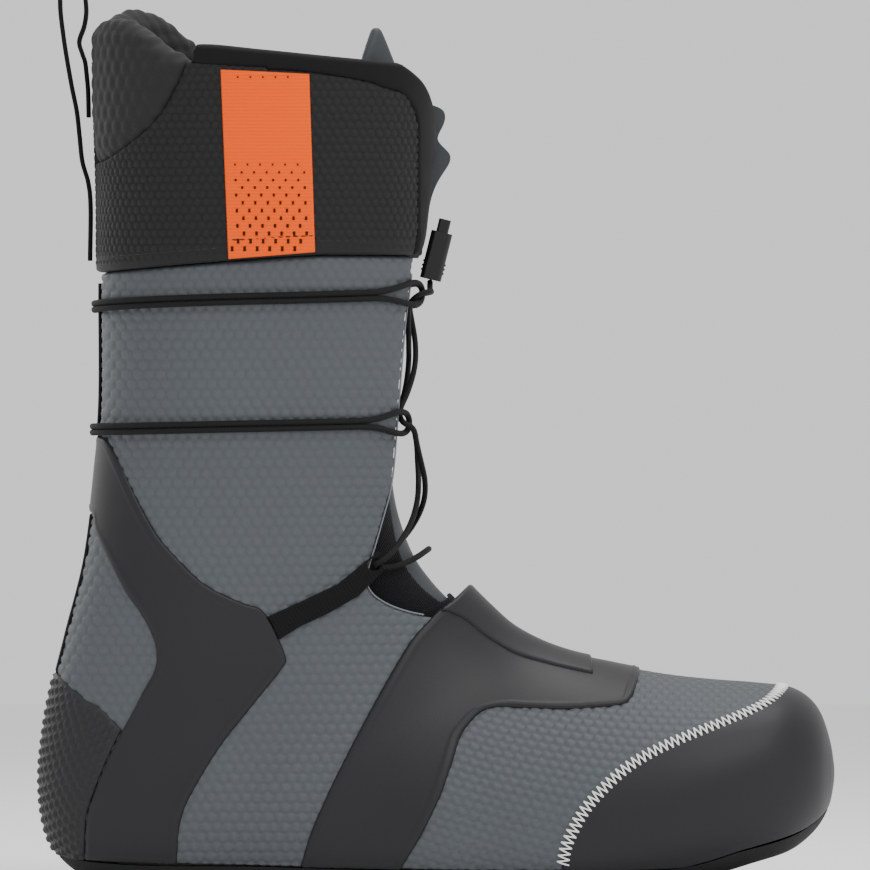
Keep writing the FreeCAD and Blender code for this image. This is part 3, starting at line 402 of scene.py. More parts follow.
def patch(name, material, region, outer, inner, rows=(0.02, 22.98), turns=(0, math.pi), pitch=1.0,
          roll=1.2, lip=0.3, relief=None, pillow=False, fade=1.5, closed_tip=False):
    """Closed shell of the skin where region is positive, between two offsets, with rolled edges.
    relief(points, along, round, edge) gives extra height; outer and inner
    may be functions of points and normals."""
    along, turn, along_mm, round_mm = skin_grid(rows, turns, pitch)
    shape = along.shape
    base = bare_points(along, turn)
    normal = skin_normals(along, turn)
    if closed_tip:
        base, normal, along_mm, round_mm = tip_rows(base, normal, along_mm, round_mm)
        shape = base.shape[:2]
    out_value = outer if not callable(outer) else 0.0
    probe = (base + normal * out_value).reshape(-1, 3)
    depth = region(probe).reshape(shape)
    step_a = np.linalg.norm(np.gradient(base, axis=0), axis=2)
    step_b = np.linalg.norm(np.gradient(base, axis=1), axis=2)
    slope_a = np.gradient(depth, axis=0) / np.maximum(step_a, 1e-3)
    slope_b = np.gradient(depth, axis=1) / np.maximum(step_b, 1e-3)
    slope = np.clip(np.hypot(slope_a, slope_b), 0.3, 1.4)
    values = np.concatenate([base, normal, along_mm[..., None], round_mm[..., None],
                             slope[..., None]], 2)
    flat = values.reshape(-1, values.shape[2])
    f = depth.ravel()
    index = np.arange(f.size).reshape(shape)
    corners = np.stack([index[:-1, :-1], index[:-1, 1:], index[1:, 1:], index[1:, :-1]],
                       -1).reshape(-1, 4)
    positive = f[corners] > 0
    full = corners[positive.all(1)]
    mixed = corners[positive.any(1) & ~positive.all(1)]
    cut_points = {}
    extra = []

    def cut(i, j):
        key = (min(i, j), max(i, j))
        if key not in cut_points:
            share = f[key[0]] / (f[key[0]] - f[key[1]])
            cut_points[key] = f.size + len(extra)
            extra.append(flat[key[0]] * (1 - share) + flat[key[1]] * share)
        return cut_points[key]

    polygons = []
    for quad in mixed:
        ring = []
        for i, j in zip(quad, np.roll(quad, -1)):
            if f[i] > 0:
                ring.append(int(i))
            if (f[i] > 0) != (f[j] > 0):
                ring.append(cut(int(i), int(j)))
        if len(ring) > 2:
            polygons.append(ring)
    everything = np.vstack([flat, np.array(extra).reshape(-1, flat.shape[1])])
    edge = np.concatenate([np.maximum(f, 0), np.zeros(len(extra))]) / everything[:, 8]
    faces = full.tolist() + polygons
    used = np.unique(np.concatenate([full.ravel(),
                                     np.array([i for ring in polygons for i in ring], int)]))
    lookup = np.full(len(everything), -1)
    lookup[used] = np.arange(len(used))
    faces = [[int(lookup[i]) for i in ring] for ring in faces]
    v, edge = everything[used], edge[used]
    base, normal = v[:, :3], v[:, 3:6] / np.linalg.norm(v[:, 3:6], axis=1, keepdims=True)
    top = outer(base, normal) if callable(outer) else np.full(len(v), float(outer))
    low = inner(base, normal) if callable(inner) else np.full(len(v), float(inner))
    rolled = np.sqrt(np.maximum(1 - (1 - np.clip(edge / roll, 0, 1)) ** 2, 0))
    middle = 0.5 * (top + low) if pillow else low
    high = middle + (top - middle) * (lip + (1 - lip) * rolled)
    if pillow:
        low = middle + (low - middle) * (lip + (1 - lip) * rolled)
    if relief:
        high = high + relief(base, v[:, 6], v[:, 7], edge) * ease(0, fade, edge)
    count = len(v)
    points = np.vstack([base + normal * high[:, None], base + normal * low[:, None]])
    edges = {}
    for ring in faces:
        for i, j in zip(ring, ring[1:] + ring[:1]):
            if (j, i) in edges:
                del edges[(j, i)]
            else:
                edges[(i, j)] = True
    walls = [[j, i, i + count, j + count] for i, j in edges]
    backs = [[i + count for i in ring[::-1]] for ring in faces]
    piece = new_mesh(name, points, faces + backs + walls, material)
    tidy = bmesh.new()
    tidy.from_mesh(piece.data)
    bmesh.ops.remove_doubles(tidy, verts=tidy.verts, dist=0.00002)
    bmesh.ops.recalc_face_normals(tidy, faces=tidy.faces)
    tidy.to_mesh(piece.data)
    tidy.free()
    piece.data.shade_smooth()
    return piece


def tip_rows(base, normal, along_mm, round_mm):
    """Extra rows that close the last ring over the tip of the toe."""
    ring, facing = base[-1], normal[-1]
    centre = ring.mean(0)
    for share in (0.8, 0.6, 0.4, 0.2, 0.0):
        points = centre + (ring - centre) * share + (0.35 * (1 - share * share), 0, 0)
        facing_now = facing * share + np.array([1.0, 0, 0]) * (1 - share)
        facing_now /= np.linalg.norm(facing_now, axis=1, keepdims=True)
        base = np.concatenate([base, points[None]])
        normal = np.concatenate([normal, facing_now[None]])
        along_mm = np.concatenate([along_mm, along_mm[-1:] + 1])
        round_mm = np.concatenate([round_mm, round_mm[-1:]])
    return base, normal, along_mm, round_mm


def pair_turns(which):
    """Half of the skin for one side of the boot; the medial side is the one with positive y."""
    return (0, math.pi) if which == "medial" else (-math.pi, 0)


class SideMap:
    """Finds the skin place that stands at a side-view point."""

    def __init__(self):
        self.along = np.repeat(np.linspace(0.05, 22.9, 620), 220)
        self.turn = np.tile(np.linspace(0.004, math.pi - 0.004, 220), 620)
        self.base = bare_points(self.along, self.turn)
        self.normal = skin_normals(self.along, self.turn)
        self.tree = kdtree.KDTree(len(self.base))
        for i, (x, _, z) in enumerate(self.base.tolist()):
            self.tree.insert((x, z, 0), i)
        self.tree.balance()

    def at(self, x, z, offset, which="lateral"):
        """Point in mm above the skin at side-view (x, z), and its normal."""
        shift = np.zeros(3)
        for _ in range(2):
            found = self.tree.find_n((x - shift[0], z - shift[2], 0), 5)
            weights = np.array([1 / (0.05 + distance) ** 2 for _, _, distance in found])
            picks = [i for _, i, _ in found]
            normal = np.average(self.normal[picks], 0, weights)
            normal /= np.linalg.norm(normal)
            shift = normal * offset
        y = np.average(self.base[picks, 1], 0, weights) + shift[1]
        sign = 1 if which == "medial" else -1
        return np.array([x, sign * y, z]), normal * (1, sign, 1)


def tube(points, radius, sides=8, closed=False, braid=0.0, braid_pitch=3.0):
    """Points and faces of a tube along a line, with an optional braided surface."""
    p = np.asarray(points, float)
    ahead = np.roll(p, -1, 0) - p
    behind = p - np.roll(p, 1, 0)
    if not closed:
        ahead[-1], behind[0] = behind[-1], ahead[0]
    tangent = ahead / np.linalg.norm(ahead, axis=1, keepdims=True) + behind / np.linalg.norm(behind,
                                                                                             axis=1, keepdims=True)
    tangent /= np.maximum(np.linalg.norm(tangent, axis=1, keepdims=True), 1e-9)
    guide = np.cross(tangent[0], (0.3, 0.9, 0.1))
    distance = 0.0
    rings = []
    for i in range(len(p)):
        guide = guide - tangent[i] * guide.dot(tangent[i])
        guide /= np.linalg.norm(guide)
        other = np.cross(tangent[i], guide)
        if i:
            distance += np.linalg.norm(p[i] - p[i - 1])
        angle = np.arange(sides) * 2 * math.pi / sides
        twist = 2 * math.pi * distance / braid_pitch
        weave = np.abs(np.sin(2 * angle + twist)) + np.abs(np.sin(2 * angle - twist))
        r = radius * (1 - braid + braid * weave)
        rings.append(p[i] + r[:, None] * (np.cos(angle)[:, None] * guide + np.sin(angle)[:, None]
                                          * other))
    points = np.vstack(rings)
    faces = []
    for i in range(len(p) if closed else len(p) - 1):
        j = (i + 1) % len(p)
        for k in range(sides):
            m = (k + 1) % sides
            faces.append([i * sides + k, i * sides + m, j * sides + m, j * sides + k])
    if not closed:
        faces.append(list(range(sides))[::-1])
        faces.append(list(range(len(points) - sides, len(points))))
    return points, faces


def joined(parts):
    """Several point and face lists as one."""
    points, faces, base = [], [], 0
    for part_points, part_faces in parts:
        points.append(np.asarray(part_points))
        faces += [[i + base for i in ring] for ring in part_faces]
        base += len(part_points)
    return np.vstack(points), faces


def spline_points(points, closed=False, step=0.5):
    """Evenly spaced points read from a smooth NURBS spline with the given control points."""
    curve = bpy.data.curves.new("route", "CURVE")
    curve.dimensions = "3D"
    curve.resolution_u = 24
    spline = curve.splines.new("NURBS")
    spline.points.add(len(points) - 1)
    for knot, point in zip(spline.points, points):
        knot.co = (*point, 1)
    spline.order_u = 3
    spline.use_endpoint_u = not closed
    spline.use_cyclic_u = closed
    holder = bpy.data.objects.new("route", curve)
    bpy.context.scene.collection.objects.link(holder)
    bpy.context.view_layer.update()
    line = bpy.data.meshes.new_from_object(holder)
    path = np.array([v.co for v in line.vertices], float)
    bpy.data.objects.remove(holder)
    if closed:
        path = np.vstack([path, path[:1]])
    lengths = np.concatenate([[0], np.cumsum(np.linalg.norm(np.diff(path, axis=0), axis=1))])
    even = np.linspace(0, lengths[-1], max(int(lengths[-1] / step), 4) + 1)
    path = np.stack([np.interp(even, lengths, path[:, k]) for k in range(3)], 1)
    return path[:-1] if closed else path


def stitches(lines, radius=0.22, bite=0.35):
    """Short threads, each a line of (point, normal) places.

    A thread is lifted in its middle and sunk at its ends."""
    parts = []
    for line in lines:
        points = []
        for k, (point, normal) in enumerate(line):
            end = k in (0, len(line) - 1)
            points.append(point + normal * (-bite if end else 0.0))
        parts.append(tube(points, radius, 6))
    return joined(parts)


SIDE_MAP = SideMap()

# ---------------------------------------------------------------- finishes


def tone(code):
    """Linear colour from a web colour code."""
    parts = [int(code[i:i + 2], 16) / 255 for i in (1, 3, 5)]
    return tuple(c / 12.92 if c <= 0.04045 else ((c + 0.055) / 1.055) ** 2.4 for c in parts)


def group_frame(name, inputs, outputs):
    """Empty node group with its named sockets, and its two end nodes."""
    group = bpy.data.node_groups.new(name, "ShaderNodeTree")
    for label, value in inputs:
        socket = group.interface.new_socket(label, in_out="INPUT", socket_type="NodeSocketFloat")
        socket.default_value = value
    for label in outputs:
        group.interface.new_socket(label, in_out="OUTPUT", socket_type="NodeSocketFloat")
    return group, group.nodes.new("NodeGroupInput"), group.nodes.new("NodeGroupOutput")


def maths(tree, operation, first, second=None, third=None):
    """Math node with links or numbers on its sockets."""
    node = tree.nodes.new("ShaderNodeMath")
    node.operation = operation
    for socket, value in zip(node.inputs, (first, second, third)):
        if isinstance(value, bpy.types.NodeSocket):
            tree.links.new(value, socket)
        elif value is not None:
            socket.default_value = value
    return node.outputs[0]


def noise(tree, vector, scale, detail=3.0):
    node = tree.nodes.new("ShaderNodeTexNoise")
    tree.links.new(vector, node.inputs["Vector"])
    node.inputs["Detail"].default_value = detail
    if isinstance(scale, bpy.types.NodeSocket):
        tree.links.new(scale, node.inputs["Scale"])
    else:
        node.inputs["Scale"].default_value = scale
    return node.outputs["Fac"]


def foam_grain_group():
    """Fine closed-cell grain with a slow cloudy shade."""
    group, ins, outs = group_frame("Foam Grain", [("Scale", 1200.0), ("Clouds", 22.0)],
                                   ["Height", "Shade"])
    place = group.nodes.new("ShaderNodeTexCoord").outputs["Object"]
    fine = noise(group, place, ins.outputs["Scale"], 4.0)
    cells = group.nodes.new("ShaderNodeTexVoronoi")
    group.links.new(place, cells.inputs["Vector"])
    group.links.new(ins.outputs["Scale"], cells.inputs["Scale"])
    height = maths(group, "MULTIPLY_ADD", cells.outputs["Distance"], 0.6, fine)
    clouds = noise(group, place, ins.outputs["Clouds"], 5.0)
    shade = maths(group, "MULTIPLY_ADD", fine, 0.35, clouds)
    group.links.new(height, outs.inputs["Height"])
    group.links.new(maths(group, "SUBTRACT", shade, 0.18), outs.inputs["Shade"])
    return group


def weave_group():
    """Crossing threads with a slight unevenness."""
    group, ins, outs = group_frame("Fabric Weave", [("Scale", 900.0), ("Unevenness", 0.4)],
                                   ["Height", "Shade"])
    place = group.nodes.new("ShaderNodeTexCoord").outputs["Object"]
    split = group.nodes.new("ShaderNodeSeparateXYZ")
    group.links.new(place, split.inputs[0])
    warp = maths(group, "MULTIPLY", maths(group, "ADD", split.outputs["X"], split.outputs["Y"]),
                 ins.outputs["Scale"])
    weft = maths(group, "MULTIPLY", split.outputs["Z"], ins.outputs["Scale"])
    first = maths(group, "SINE", maths(group, "ADD", warp, weft))
    second = maths(group, "SINE", maths(group, "SUBTRACT", warp, weft))
    crossing = maths(group, "MAXIMUM", first, second)
    uneven = noise(group, place, 160.0, 4.0)
    height = maths(group, "MULTIPLY_ADD", uneven, ins.outputs["Unevenness"],
                   maths(group, "MULTIPLY", crossing, 0.5))
    shade = maths(group, "MULTIPLY_ADD", crossing, 0.22, uneven)
    group.links.new(height, outs.inputs["Height"])
    group.links.new(shade, outs.inputs["Shade"])
    return group


def wear_group():
    """Rubbed edges and faint scuffs, plus painted shade: Pointiness lightens bump crests and darkens the hollows
    between them.
    """
    group, ins, outs = group_frame("Edge Wear and Painted Shade", [("Amount", 0.5), ("Scuffs", 60.0)], ["Mask"])
    sharp = group.nodes.new("ShaderNodeNewGeometry").outputs["Pointiness"]
    place = group.nodes.new("ShaderNodeTexCoord").outputs["Object"]
    # painted shade: Pointiness lightens convex crests and edges (partly rubbed wear) and darkens the hollows
    # between bumps
    edges = maths(group, "MULTIPLY", maths(group, "SUBTRACT", sharp, 0.5), 6.0)
    scuffs = maths(group, "POWER", noise(group, place, ins.outputs["Scuffs"], 6.0), 3.0)
    wear_and_shade_mask = maths(group, "ADD", edges, scuffs)
    mixed = group.nodes.new("ShaderNodeClamp")
    group.links.new(maths(group, "MULTIPLY", wear_and_shade_mask, ins.outputs["Amount"]), mixed.inputs[0])
    group.links.new(mixed.outputs[0], outs.inputs["Mask"])
    return group


GROUPS = {"foam": foam_grain_group(), "weave": weave_group(), "wear": wear_group()}


def finish(name, dark, light, roughness, kind="foam", scale=1200.0, bump=0.3, depth=0.0003,
           wear=0.3,
           sheen=0.0, coat=0.0, metallic=0.0, gloss=0.3):
    """Material of one finish.

    Two shades mixed by its grain or weave, with wear and painted shade in hollows, roughness and bump."""
    material = bpy.data.materials.new(name)
    material.use_nodes = True
    tree = material.node_tree
    shader = tree.nodes["Principled BSDF"]
    surface = tree.nodes.new("ShaderNodeGroup")
    surface.node_tree = GROUPS[kind]
    surface.inputs["Scale"].default_value = scale
    rubbed_and_shaded = tree.nodes.new("ShaderNodeGroup")
    rubbed_and_shaded.node_tree = GROUPS["wear"]
    rubbed_and_shaded.inputs["Amount"].default_value = wear
    mix = tree.nodes.new("ShaderNodeMix")
    mix.data_type = "RGBA"
    mix.inputs["A"].default_value = (*dark, 1)
    mix.inputs["B"].default_value = (*light, 1)
    # colour factor: grain or weave tone plus the wear mask, which also paints shade into hollows and lightens bump
    # crests
    factor = maths(tree, "ADD", maths(tree, "MULTIPLY", surface.outputs["Shade"], 0.7),
                   rubbed_and_shaded.outputs["Mask"])
    tree.links.new(factor, mix.inputs["Factor"])
    tree.links.new(mix.outputs["Result"], shader.inputs["Base Color"])
    rough = tree.nodes.new("ShaderNodeMapRange")
    rough.inputs["To Min"].default_value = roughness[0]
    rough.inputs["To Max"].default_value = roughness[1]
    tree.links.new(surface.outputs["Shade"], rough.inputs["Value"])
    tree.links.new(rough.outputs["Result"], shader.inputs["Roughness"])
    bumps = tree.nodes.new("ShaderNodeBump")
    bumps.inputs["Strength"].default_value = bump
    bumps.inputs["Distance"].default_value = depth
    tree.links.new(surface.outputs["Height"], bumps.inputs["Height"])
    tree.links.new(bumps.outputs["Normal"], shader.inputs["Normal"])
    shader.inputs["Metallic"].default_value = metallic
    shader.inputs["Sheen Weight"].default_value = sheen
    shader.inputs["Specular IOR Level"].default_value = gloss
    shader.inputs["Coat Weight"].default_value = coat
    shader.inputs["Coat Roughness"].default_value = 0.25
    return material


FINISHES = {}


def make_finishes(colours):
    """Every finish of the boot liner, from the panel's colours."""
    def pair(colour, gain=1.5):
        return tuple(colour), tuple(min(c * gain, 1) for c in colour)

    def add(name, colour, gain, *args, **kwargs):
        dark, light = pair(colour, gain)
        FINISHES[name] = finish(name, dark, light, *args, **kwargs)

    add("grey_foam", colours.foam, 1.3, (0.5, 0.62), "foam", 1500.0, 0.25, 0.00015, wear=0.2,
        gloss=0.35)
    add("cut_edge", tone("#6b7076"), 1.2, (0.5, 0.65), "foam", 1500.0, 0.2, 0.0001, wear=0.1,
        gloss=0.35)
    add("toe_rubber", colours.toe, 1.35, (0.42, 0.55), "foam", 900.0, 0.2, 0.0001, wear=0.15,
        gloss=0.28)
    add("overlay_rubber", colours.overlay, 1.5, (0.38, 0.52), "foam", 1100.0, 0.2, 0.0001,
        wear=0.25, gloss=0.28)
    add("heel_rubber", colours.heel, 1.5, (0.42, 0.6), "foam", 800.0, 0.35, 0.0002, wear=0.4,
        gloss=0.35)
    add("sole_rubber", colours.sole, 1.5, (0.6, 0.8), "foam", 700.0, 0.6, 0.0004, wear=0.4,
        gloss=0.2)
    add("cuff_fabric", colours.cuff, 1.9, (0.5, 0.75), "weave", 7000.0, 0.35, 0.0002, wear=0.3,
        sheen=0.04, gloss=0.25)
    add("pad_fabric", colours.pad, 1.6, (0.55, 0.8), "weave", 6000.0, 0.35, 0.0002, wear=0.3,
        sheen=0.06, gloss=0.2)
    add("edge_tape", colours.tape, 1.6, (0.6, 0.8), "weave", 9000.0, 0.3, 0.00015, wear=0.3,
        sheen=0.03, gloss=0.15)
    add("lining_knit", colours.lining, 1.8, (0.8, 0.95), "weave", 4200.0, 0.6, 0.0004, wear=0.2,
        sheen=0.1, gloss=0.1)
    add("orange_webbing", colours.label, 1.12, (0.6, 0.78), "weave", 9000.0, 0.25, 0.00015,
        wear=0.05, gloss=0.15)
    add("label_print", tone("#2a130b"), 1.3, (0.6, 0.8), "weave", 9000.0, 0.2, 0.0001, wear=0.05,
        gloss=0.15)
    add("black_webbing", colours.cord, 1.9, (0.6, 0.8), "weave", 6500.0, 0.5, 0.0003, wear=0.3,
        sheen=0.03, gloss=0.15)
    add("black_cord", colours.cord, 2.0, (0.55, 0.8), "weave", 8000.0, 0.4, 0.0002, wear=0.3,
        sheen=0.03, gloss=0.2)
    add("white_thread", colours.thread, 1.1, (0.5, 0.7), "weave", 12000.0, 0.3, 0.0001, wear=0.1,
        sheen=0.1)
    add("dark_thread", tone("#2b2b2b"), 1.5, (0.5, 0.7), "weave", 12000.0, 0.3, 0.0001, wear=0.2,
        gloss=0.2)
    add("tongue_foam", colours.tongue, 1.4, (0.45, 0.62), "foam", 1300.0, 0.25, 0.00015, wear=0.2,
        gloss=0.3)
    add("lock_gloss", colours.lock, 2.0, (0.14, 0.26), "foam", 500.0, 0.05, 0.00005, wear=0.2,
        coat=0.05, gloss=0.4)
    add("foam_core", tone("#70757a"), 1.3, (0.8, 0.95), "foam", 800.0, 0.5, 0.0004)
    add("fibre_board", tone("#8f8a80"), 1.2, (0.8, 0.95), "foam", 600.0, 0.5, 0.0004)
    add("footbed_foam", tone("#4b4f52"), 1.3, (0.7, 0.85), "foam", 900.0, 0.4, 0.0003)
    add("spring_steel", tone("#b9bcc0"), 1.1, (0.25, 0.4), "foam", 500.0, 0.1, 0.00005,
        metallic=1.0)
    add("pale_floor", tone("#f4f4f4"), 1.02, (0.85, 0.95), "foam", 200.0, 0.02, 0.0001, wear=0.0)


def dress(node, material):
    """Give a kept frame node its finish."""
    NODES[node].data.materials.clear()
    NODES[node].data.materials.append(FINISHES[material])
    NODES[node].data.shade_smooth()


def settle(piece, body, slot, *nodes):
    """Piece hides the frame nodes it stands for.

    It rides on a body, when one is given."""
    if body:
        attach(piece, body)
    if nodes:
        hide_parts(*nodes)
    return piece


def hinge(piece):
    """Bake a cuff layer's placement into its mesh."""
    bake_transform(piece)


# ---------------------------------------------------------------- sizes and colours


def length_setting(name, description, millimetres):
    return bpy.props.FloatProperty(name=name, description=description, default=millimetres * MM,
                                   unit="LENGTH", subtype="DISTANCE", precision=5, min=0.0)


def colour_setting(name, description, code):
    return bpy.props.FloatVectorProperty(name=name, description=description, default=tone(code),
                                         subtype="COLOR", size=3, min=0.0, max=1.0)


class LinerSizes(bpy.types.PropertyGroup):
    foam_pitch: length_setting("Foam pattern",
                               "Distance between the soft hexagons of the grey foam", 4.1)
    foam_relief: length_setting("Foam relief", "Height of the grey foam's pattern", 0.58)
    cuff_pitch: length_setting("Cuff pattern", "Distance between the bumps of the cuff", 3.2)
    cuff_relief: length_setting("Cuff relief", "Height of the cuff's bumps", 0.6)
    pad_pitch: length_setting("Calf pad pattern", "Distance between the bumps of the calf pads",
                              6.2)
    pad_relief: length_setting("Calf pad relief", "Height of the calf pads' bumps", 0.45)
    stud_pitch: length_setting("Heel studs", "Distance between the heel cup's studs", 3.5)
    stud_relief: length_setting("Heel stud height", "Height of the heel cup's studs", 0.8)
    zigzag_step: length_setting("Zigzag step", "Length of one zigzag of the toe stitching", 2.3)
    zigzag_width: length_setting("Zigzag width", "Width of the toe stitching", 4.4)
    cord_size: length_setting("Cord", "Diameter of the shin cords and the lace", 2.0)
    rib_pitch: length_setting("Webbing ribs", "Distance between the ribs of the webbing", 1.25)


class LinerColours(bpy.types.PropertyGroup):
    foam: colour_setting("Foam", "Grey moulded foam", "#484c50")
    toe: colour_setting("Toe cap", "Smooth toe cap", "#1f1e22")
    overlay: colour_setting("Overlay", "Moulded harness and instep overlay", "#1d1d1f")
    heel: colour_setting("Heel cup", "Studded heel rubber", "#1c1c1e")
    sole: colour_setting("Outsole", "Outsole rubber", "#1b1b1c")
    cuff: colour_setting("Cuff", "Embossed cuff fabric", "#161617")
    pad: colour_setting("Calf pads", "Padded calf lobes", "#1f1f20")
    tape: colour_setting("Edge tape", "Binding and back tape", "#0f0f10")
    lining: colour_setting("Lining", "Brushed lining and gusset", "#0e0e10")
    label: colour_setting("Label", "Ribbed label webbing", "#fb5a00")
    cord: colour_setting("Cord", "Cords, lace and webbing", "#0d0d0e")
    thread: colour_setting("Thread", "Toe cap thread", "#efefec")
    tongue: colour_setting("Tongue", "Tongue foam", "#36393c")
    lock: colour_setting("Lace lock", "Glossy lock plastic", "#0c0c0d")


def sizes():
    """The panel's sizes in millimetres."""
    group = bpy.context.scene.liner_sizes
    return {name: getattr(group, name) / MM for name in LinerSizes.__annotations__}


SIDES = ("lateral", "medial")

# calf pads: cloth pressure, frames of the simulation, and the most it may move a point (m)
PAD_PRESSURE, PAD_FRAMES, PAD_SWELL = 4.0, 20, 0.0014

# hole for the lace in the harness webbing, and the back cord's places along the skin (mm)
STRAP_EYE, STRAP_EYE_RADIUS = (-21.2, 116), 2.2
BACK_CORD = (2.84, 2.98, 3.2, 3.45, 3.7, 3.95, 4.2, 4.42)
BACK_CORD_RADIUS = 0.72


# ---------------------------------------------------------------- operators


class LINER_OT_sole(bpy.types.Operator):
    """Outsole, lasting board and footbed"""
    bl_idname = "liner.sole"
    bl_label = "Sole and Footbed"

    def execute(self, context):
        dress("outsole", "sole_rubber")
        dress("lasting_board", "fibre_board")
        for node, material in (("footbed", "footbed_foam"), ("footbed_cover", "lining_knit")):
            piece = bpy.data.objects.new(node + "_soft", NODES[node].data.copy())
            context.scene.collection.objects.link(piece)
            remesh = piece.modifiers.new("even", "REMESH")
            remesh.mode = "VOXEL"
            remesh.voxel_size = 0.0016 if node == "footbed" else 0.0005
            smooth = piece.modifiers.new("soft", "SMOOTH")
            smooth.iterations = 3 if node == "footbed" else 1
            context.view_layer.update()
            graph = context.evaluated_depsgraph_get()
            mesh = bpy.data.meshes.new_from_object(piece.evaluated_get(graph))
            piece.modifiers.clear()
            piece.data = mesh
            mesh.materials.clear()
            mesh.materials.append(FINISHES[material])
            mesh.shade_smooth()
            settle(piece, "footbed", "footbed_foam" if node == "footbed" else "footbed_cloth", node)
        return {"FINISHED"}


class LINER_OT_shell(bpy.types.Operator):
    """Moulded foam quarters, vamp, toe cap, ankle pads and gusset"""
    bl_idname = "liner.shell"
    bl_label = "Foam Shell"

    def execute(self, context):
        s = sizes()

        def side_hexes(p, along, around, edge):
            return pillows(p[:, 0], p[:, 2], s["foam_pitch"], s["foam_relief"])

        def top_hexes(p, along, around, edge):
            return pillows(p[:, 0], around, s["foam_pitch"], s["foam_relief"])

        for which in SIDES:
            piece = patch("foam_quarter_" + which, FINISHES["grey_foam"], quarter_region, 0.0, FOAM,
                          (1.5, 17.5),
                          pair_turns(which), 0.85, 1.6, 0.4, side_hexes)
            settle(piece, "shell", "eva_grey", "quarter_" + which)
            piece = patch("throat_gusset_" + which, FINISHES["lining_knit"], gusset_region,
                          FOAM - 0.2, LINING,
                          (4.0, 13.0), pair_turns(which), 1.0, 0.5, 0.6)
            settle(piece, "shell", "lining", "gusset_" + which)
            dress("ankle_pad_" + which, "foam_core")
            piece = new_mesh("throat_edge_line_" + which, *tube(self.throat_edge(which), 0.3, 8),
                             FINISHES["cut_edge"])
            settle(piece, "shell", "eva_grey")
        piece = patch("foam_vamp", FINISHES["grey_foam"], vamp_region, 0.0, FOAM, (8.0, 22.9),
                      (-math.pi, math.pi), 1.0, 1.4, 0.4, top_hexes)
        settle(piece, "shell", "eva_grey", "vamp")
        piece = patch("smooth_toe_cap", FINISHES["toe_rubber"],
                      lambda p: least(side(TOE_ZONE, p), side(ABOVE_FEATHER, p)), 0.6, FOAM,
                      (13.0, 22.98),
                      (-math.pi, math.pi), 1.1, 1.2, 0.85, closed_tip=True)
        settle(piece, "shell", "toe_cap", "toe_cap")
        return {"FINISHED"}


    def throat_edge(self, which):
        """Places along the cut edge of one quarter, from the vamp up to the hem."""
        turns = np.linspace(0.02, 0.5 * math.pi, 400)
        places = []
        for along in np.linspace(2.75, 11.0, 260):
            line = bare_points(along, turns) + skin_normals(np.array(along), turns) * -0.15
            outside = -throat(line) > 0
            start = int(np.argmax(outside))
            if outside[start] and start > 0 and line[start, 2] < 224:
                places.append(line[start])
        places = np.array(places)
        for _ in range(8):
            places[1:-1] = 0.5 * places[1:-1] + 0.25 * (places[:-2] + places[2:])
        return places if which == "medial" else places * (1, -1, 1)


class LINER_OT_lining(bpy.types.Operator):
    """Brushed lining of the foot and the cuff"""
    bl_idname = "liner.lining"
    bl_label = "Lining"

    def execute(self, context):
        def foot(p):
            return least(side(BELOW_HEM, p), -throat(p), side(ABOVE_FEATHER, p) - 3)

        piece = patch("lining_foot", FINISHES["lining_knit"], foot, FOAM, LINING, (1.5, 22.6),
                      (-math.pi, math.pi), 1.8, 0.6, 0.5)
        settle(piece, "shell", "lining", "lining")
        for which in SIDES:
            piece = patch("lining_cuff_" + which, FINISHES["lining_knit"], cuff_region, FOAM,
                          LINING, (0.3, 3.5),
                          pair_turns(which), 1.2, 0.6, 0.5)
            settle(piece, None, "lining", "flap_lining_" + which, "lining")
            hinge(piece)
        return {"FINISHED"}


class LINER_OT_cuff(bpy.types.Operator):
    """Embossed cuff with its edge tape"""
    bl_idname = "liner.cuff"
    bl_label = "Cuff"

    def execute(self, context):
        s = sizes()

        def bumps(p, along, around, edge):
            hem = hem_distance(p)
            clear = 1 - ease(3.4, 4.4, hem) * (1 - ease(4.8, 6.0, hem))
            return pillows(around, p[:, 2], s["cuff_pitch"], s["cuff_relief"]) * ease(2.2, 3.4,
                                                                                      hem) * clear

        def hem_distance(p):
            return p[:, 2] - np.interp(p[:, 0], [x for x, _ in HEM], [z for _, z in HEM])

        for which in SIDES:
            piece = patch("cuff_" + which, FINISHES["cuff_fabric"], cuff_region, CUFF, FOAM,
                          (0.3, 3.5),
                          pair_turns(which), 0.6, 1.2, 0.7, bumps, fade=0.8)
            settle(piece, None, "cuff_black", "cuff_rear", "cuff_flap_" + which, "cuff_foam_rear",
                   "flap_foam_" + which)
            hinge(piece)
            piece = patch("edge_tape_" + which, FINISHES["edge_tape"], binding_region, BINDING,
                          LINING - 0.2,
                          (0.2, 3.5), pair_turns(which), 0.7, 1.8, 0.72)
            settle(piece, None, "binding", "collar_binding_" + which, "flap_binding_" + which)
            hinge(piece)
        return {"FINISHED"}


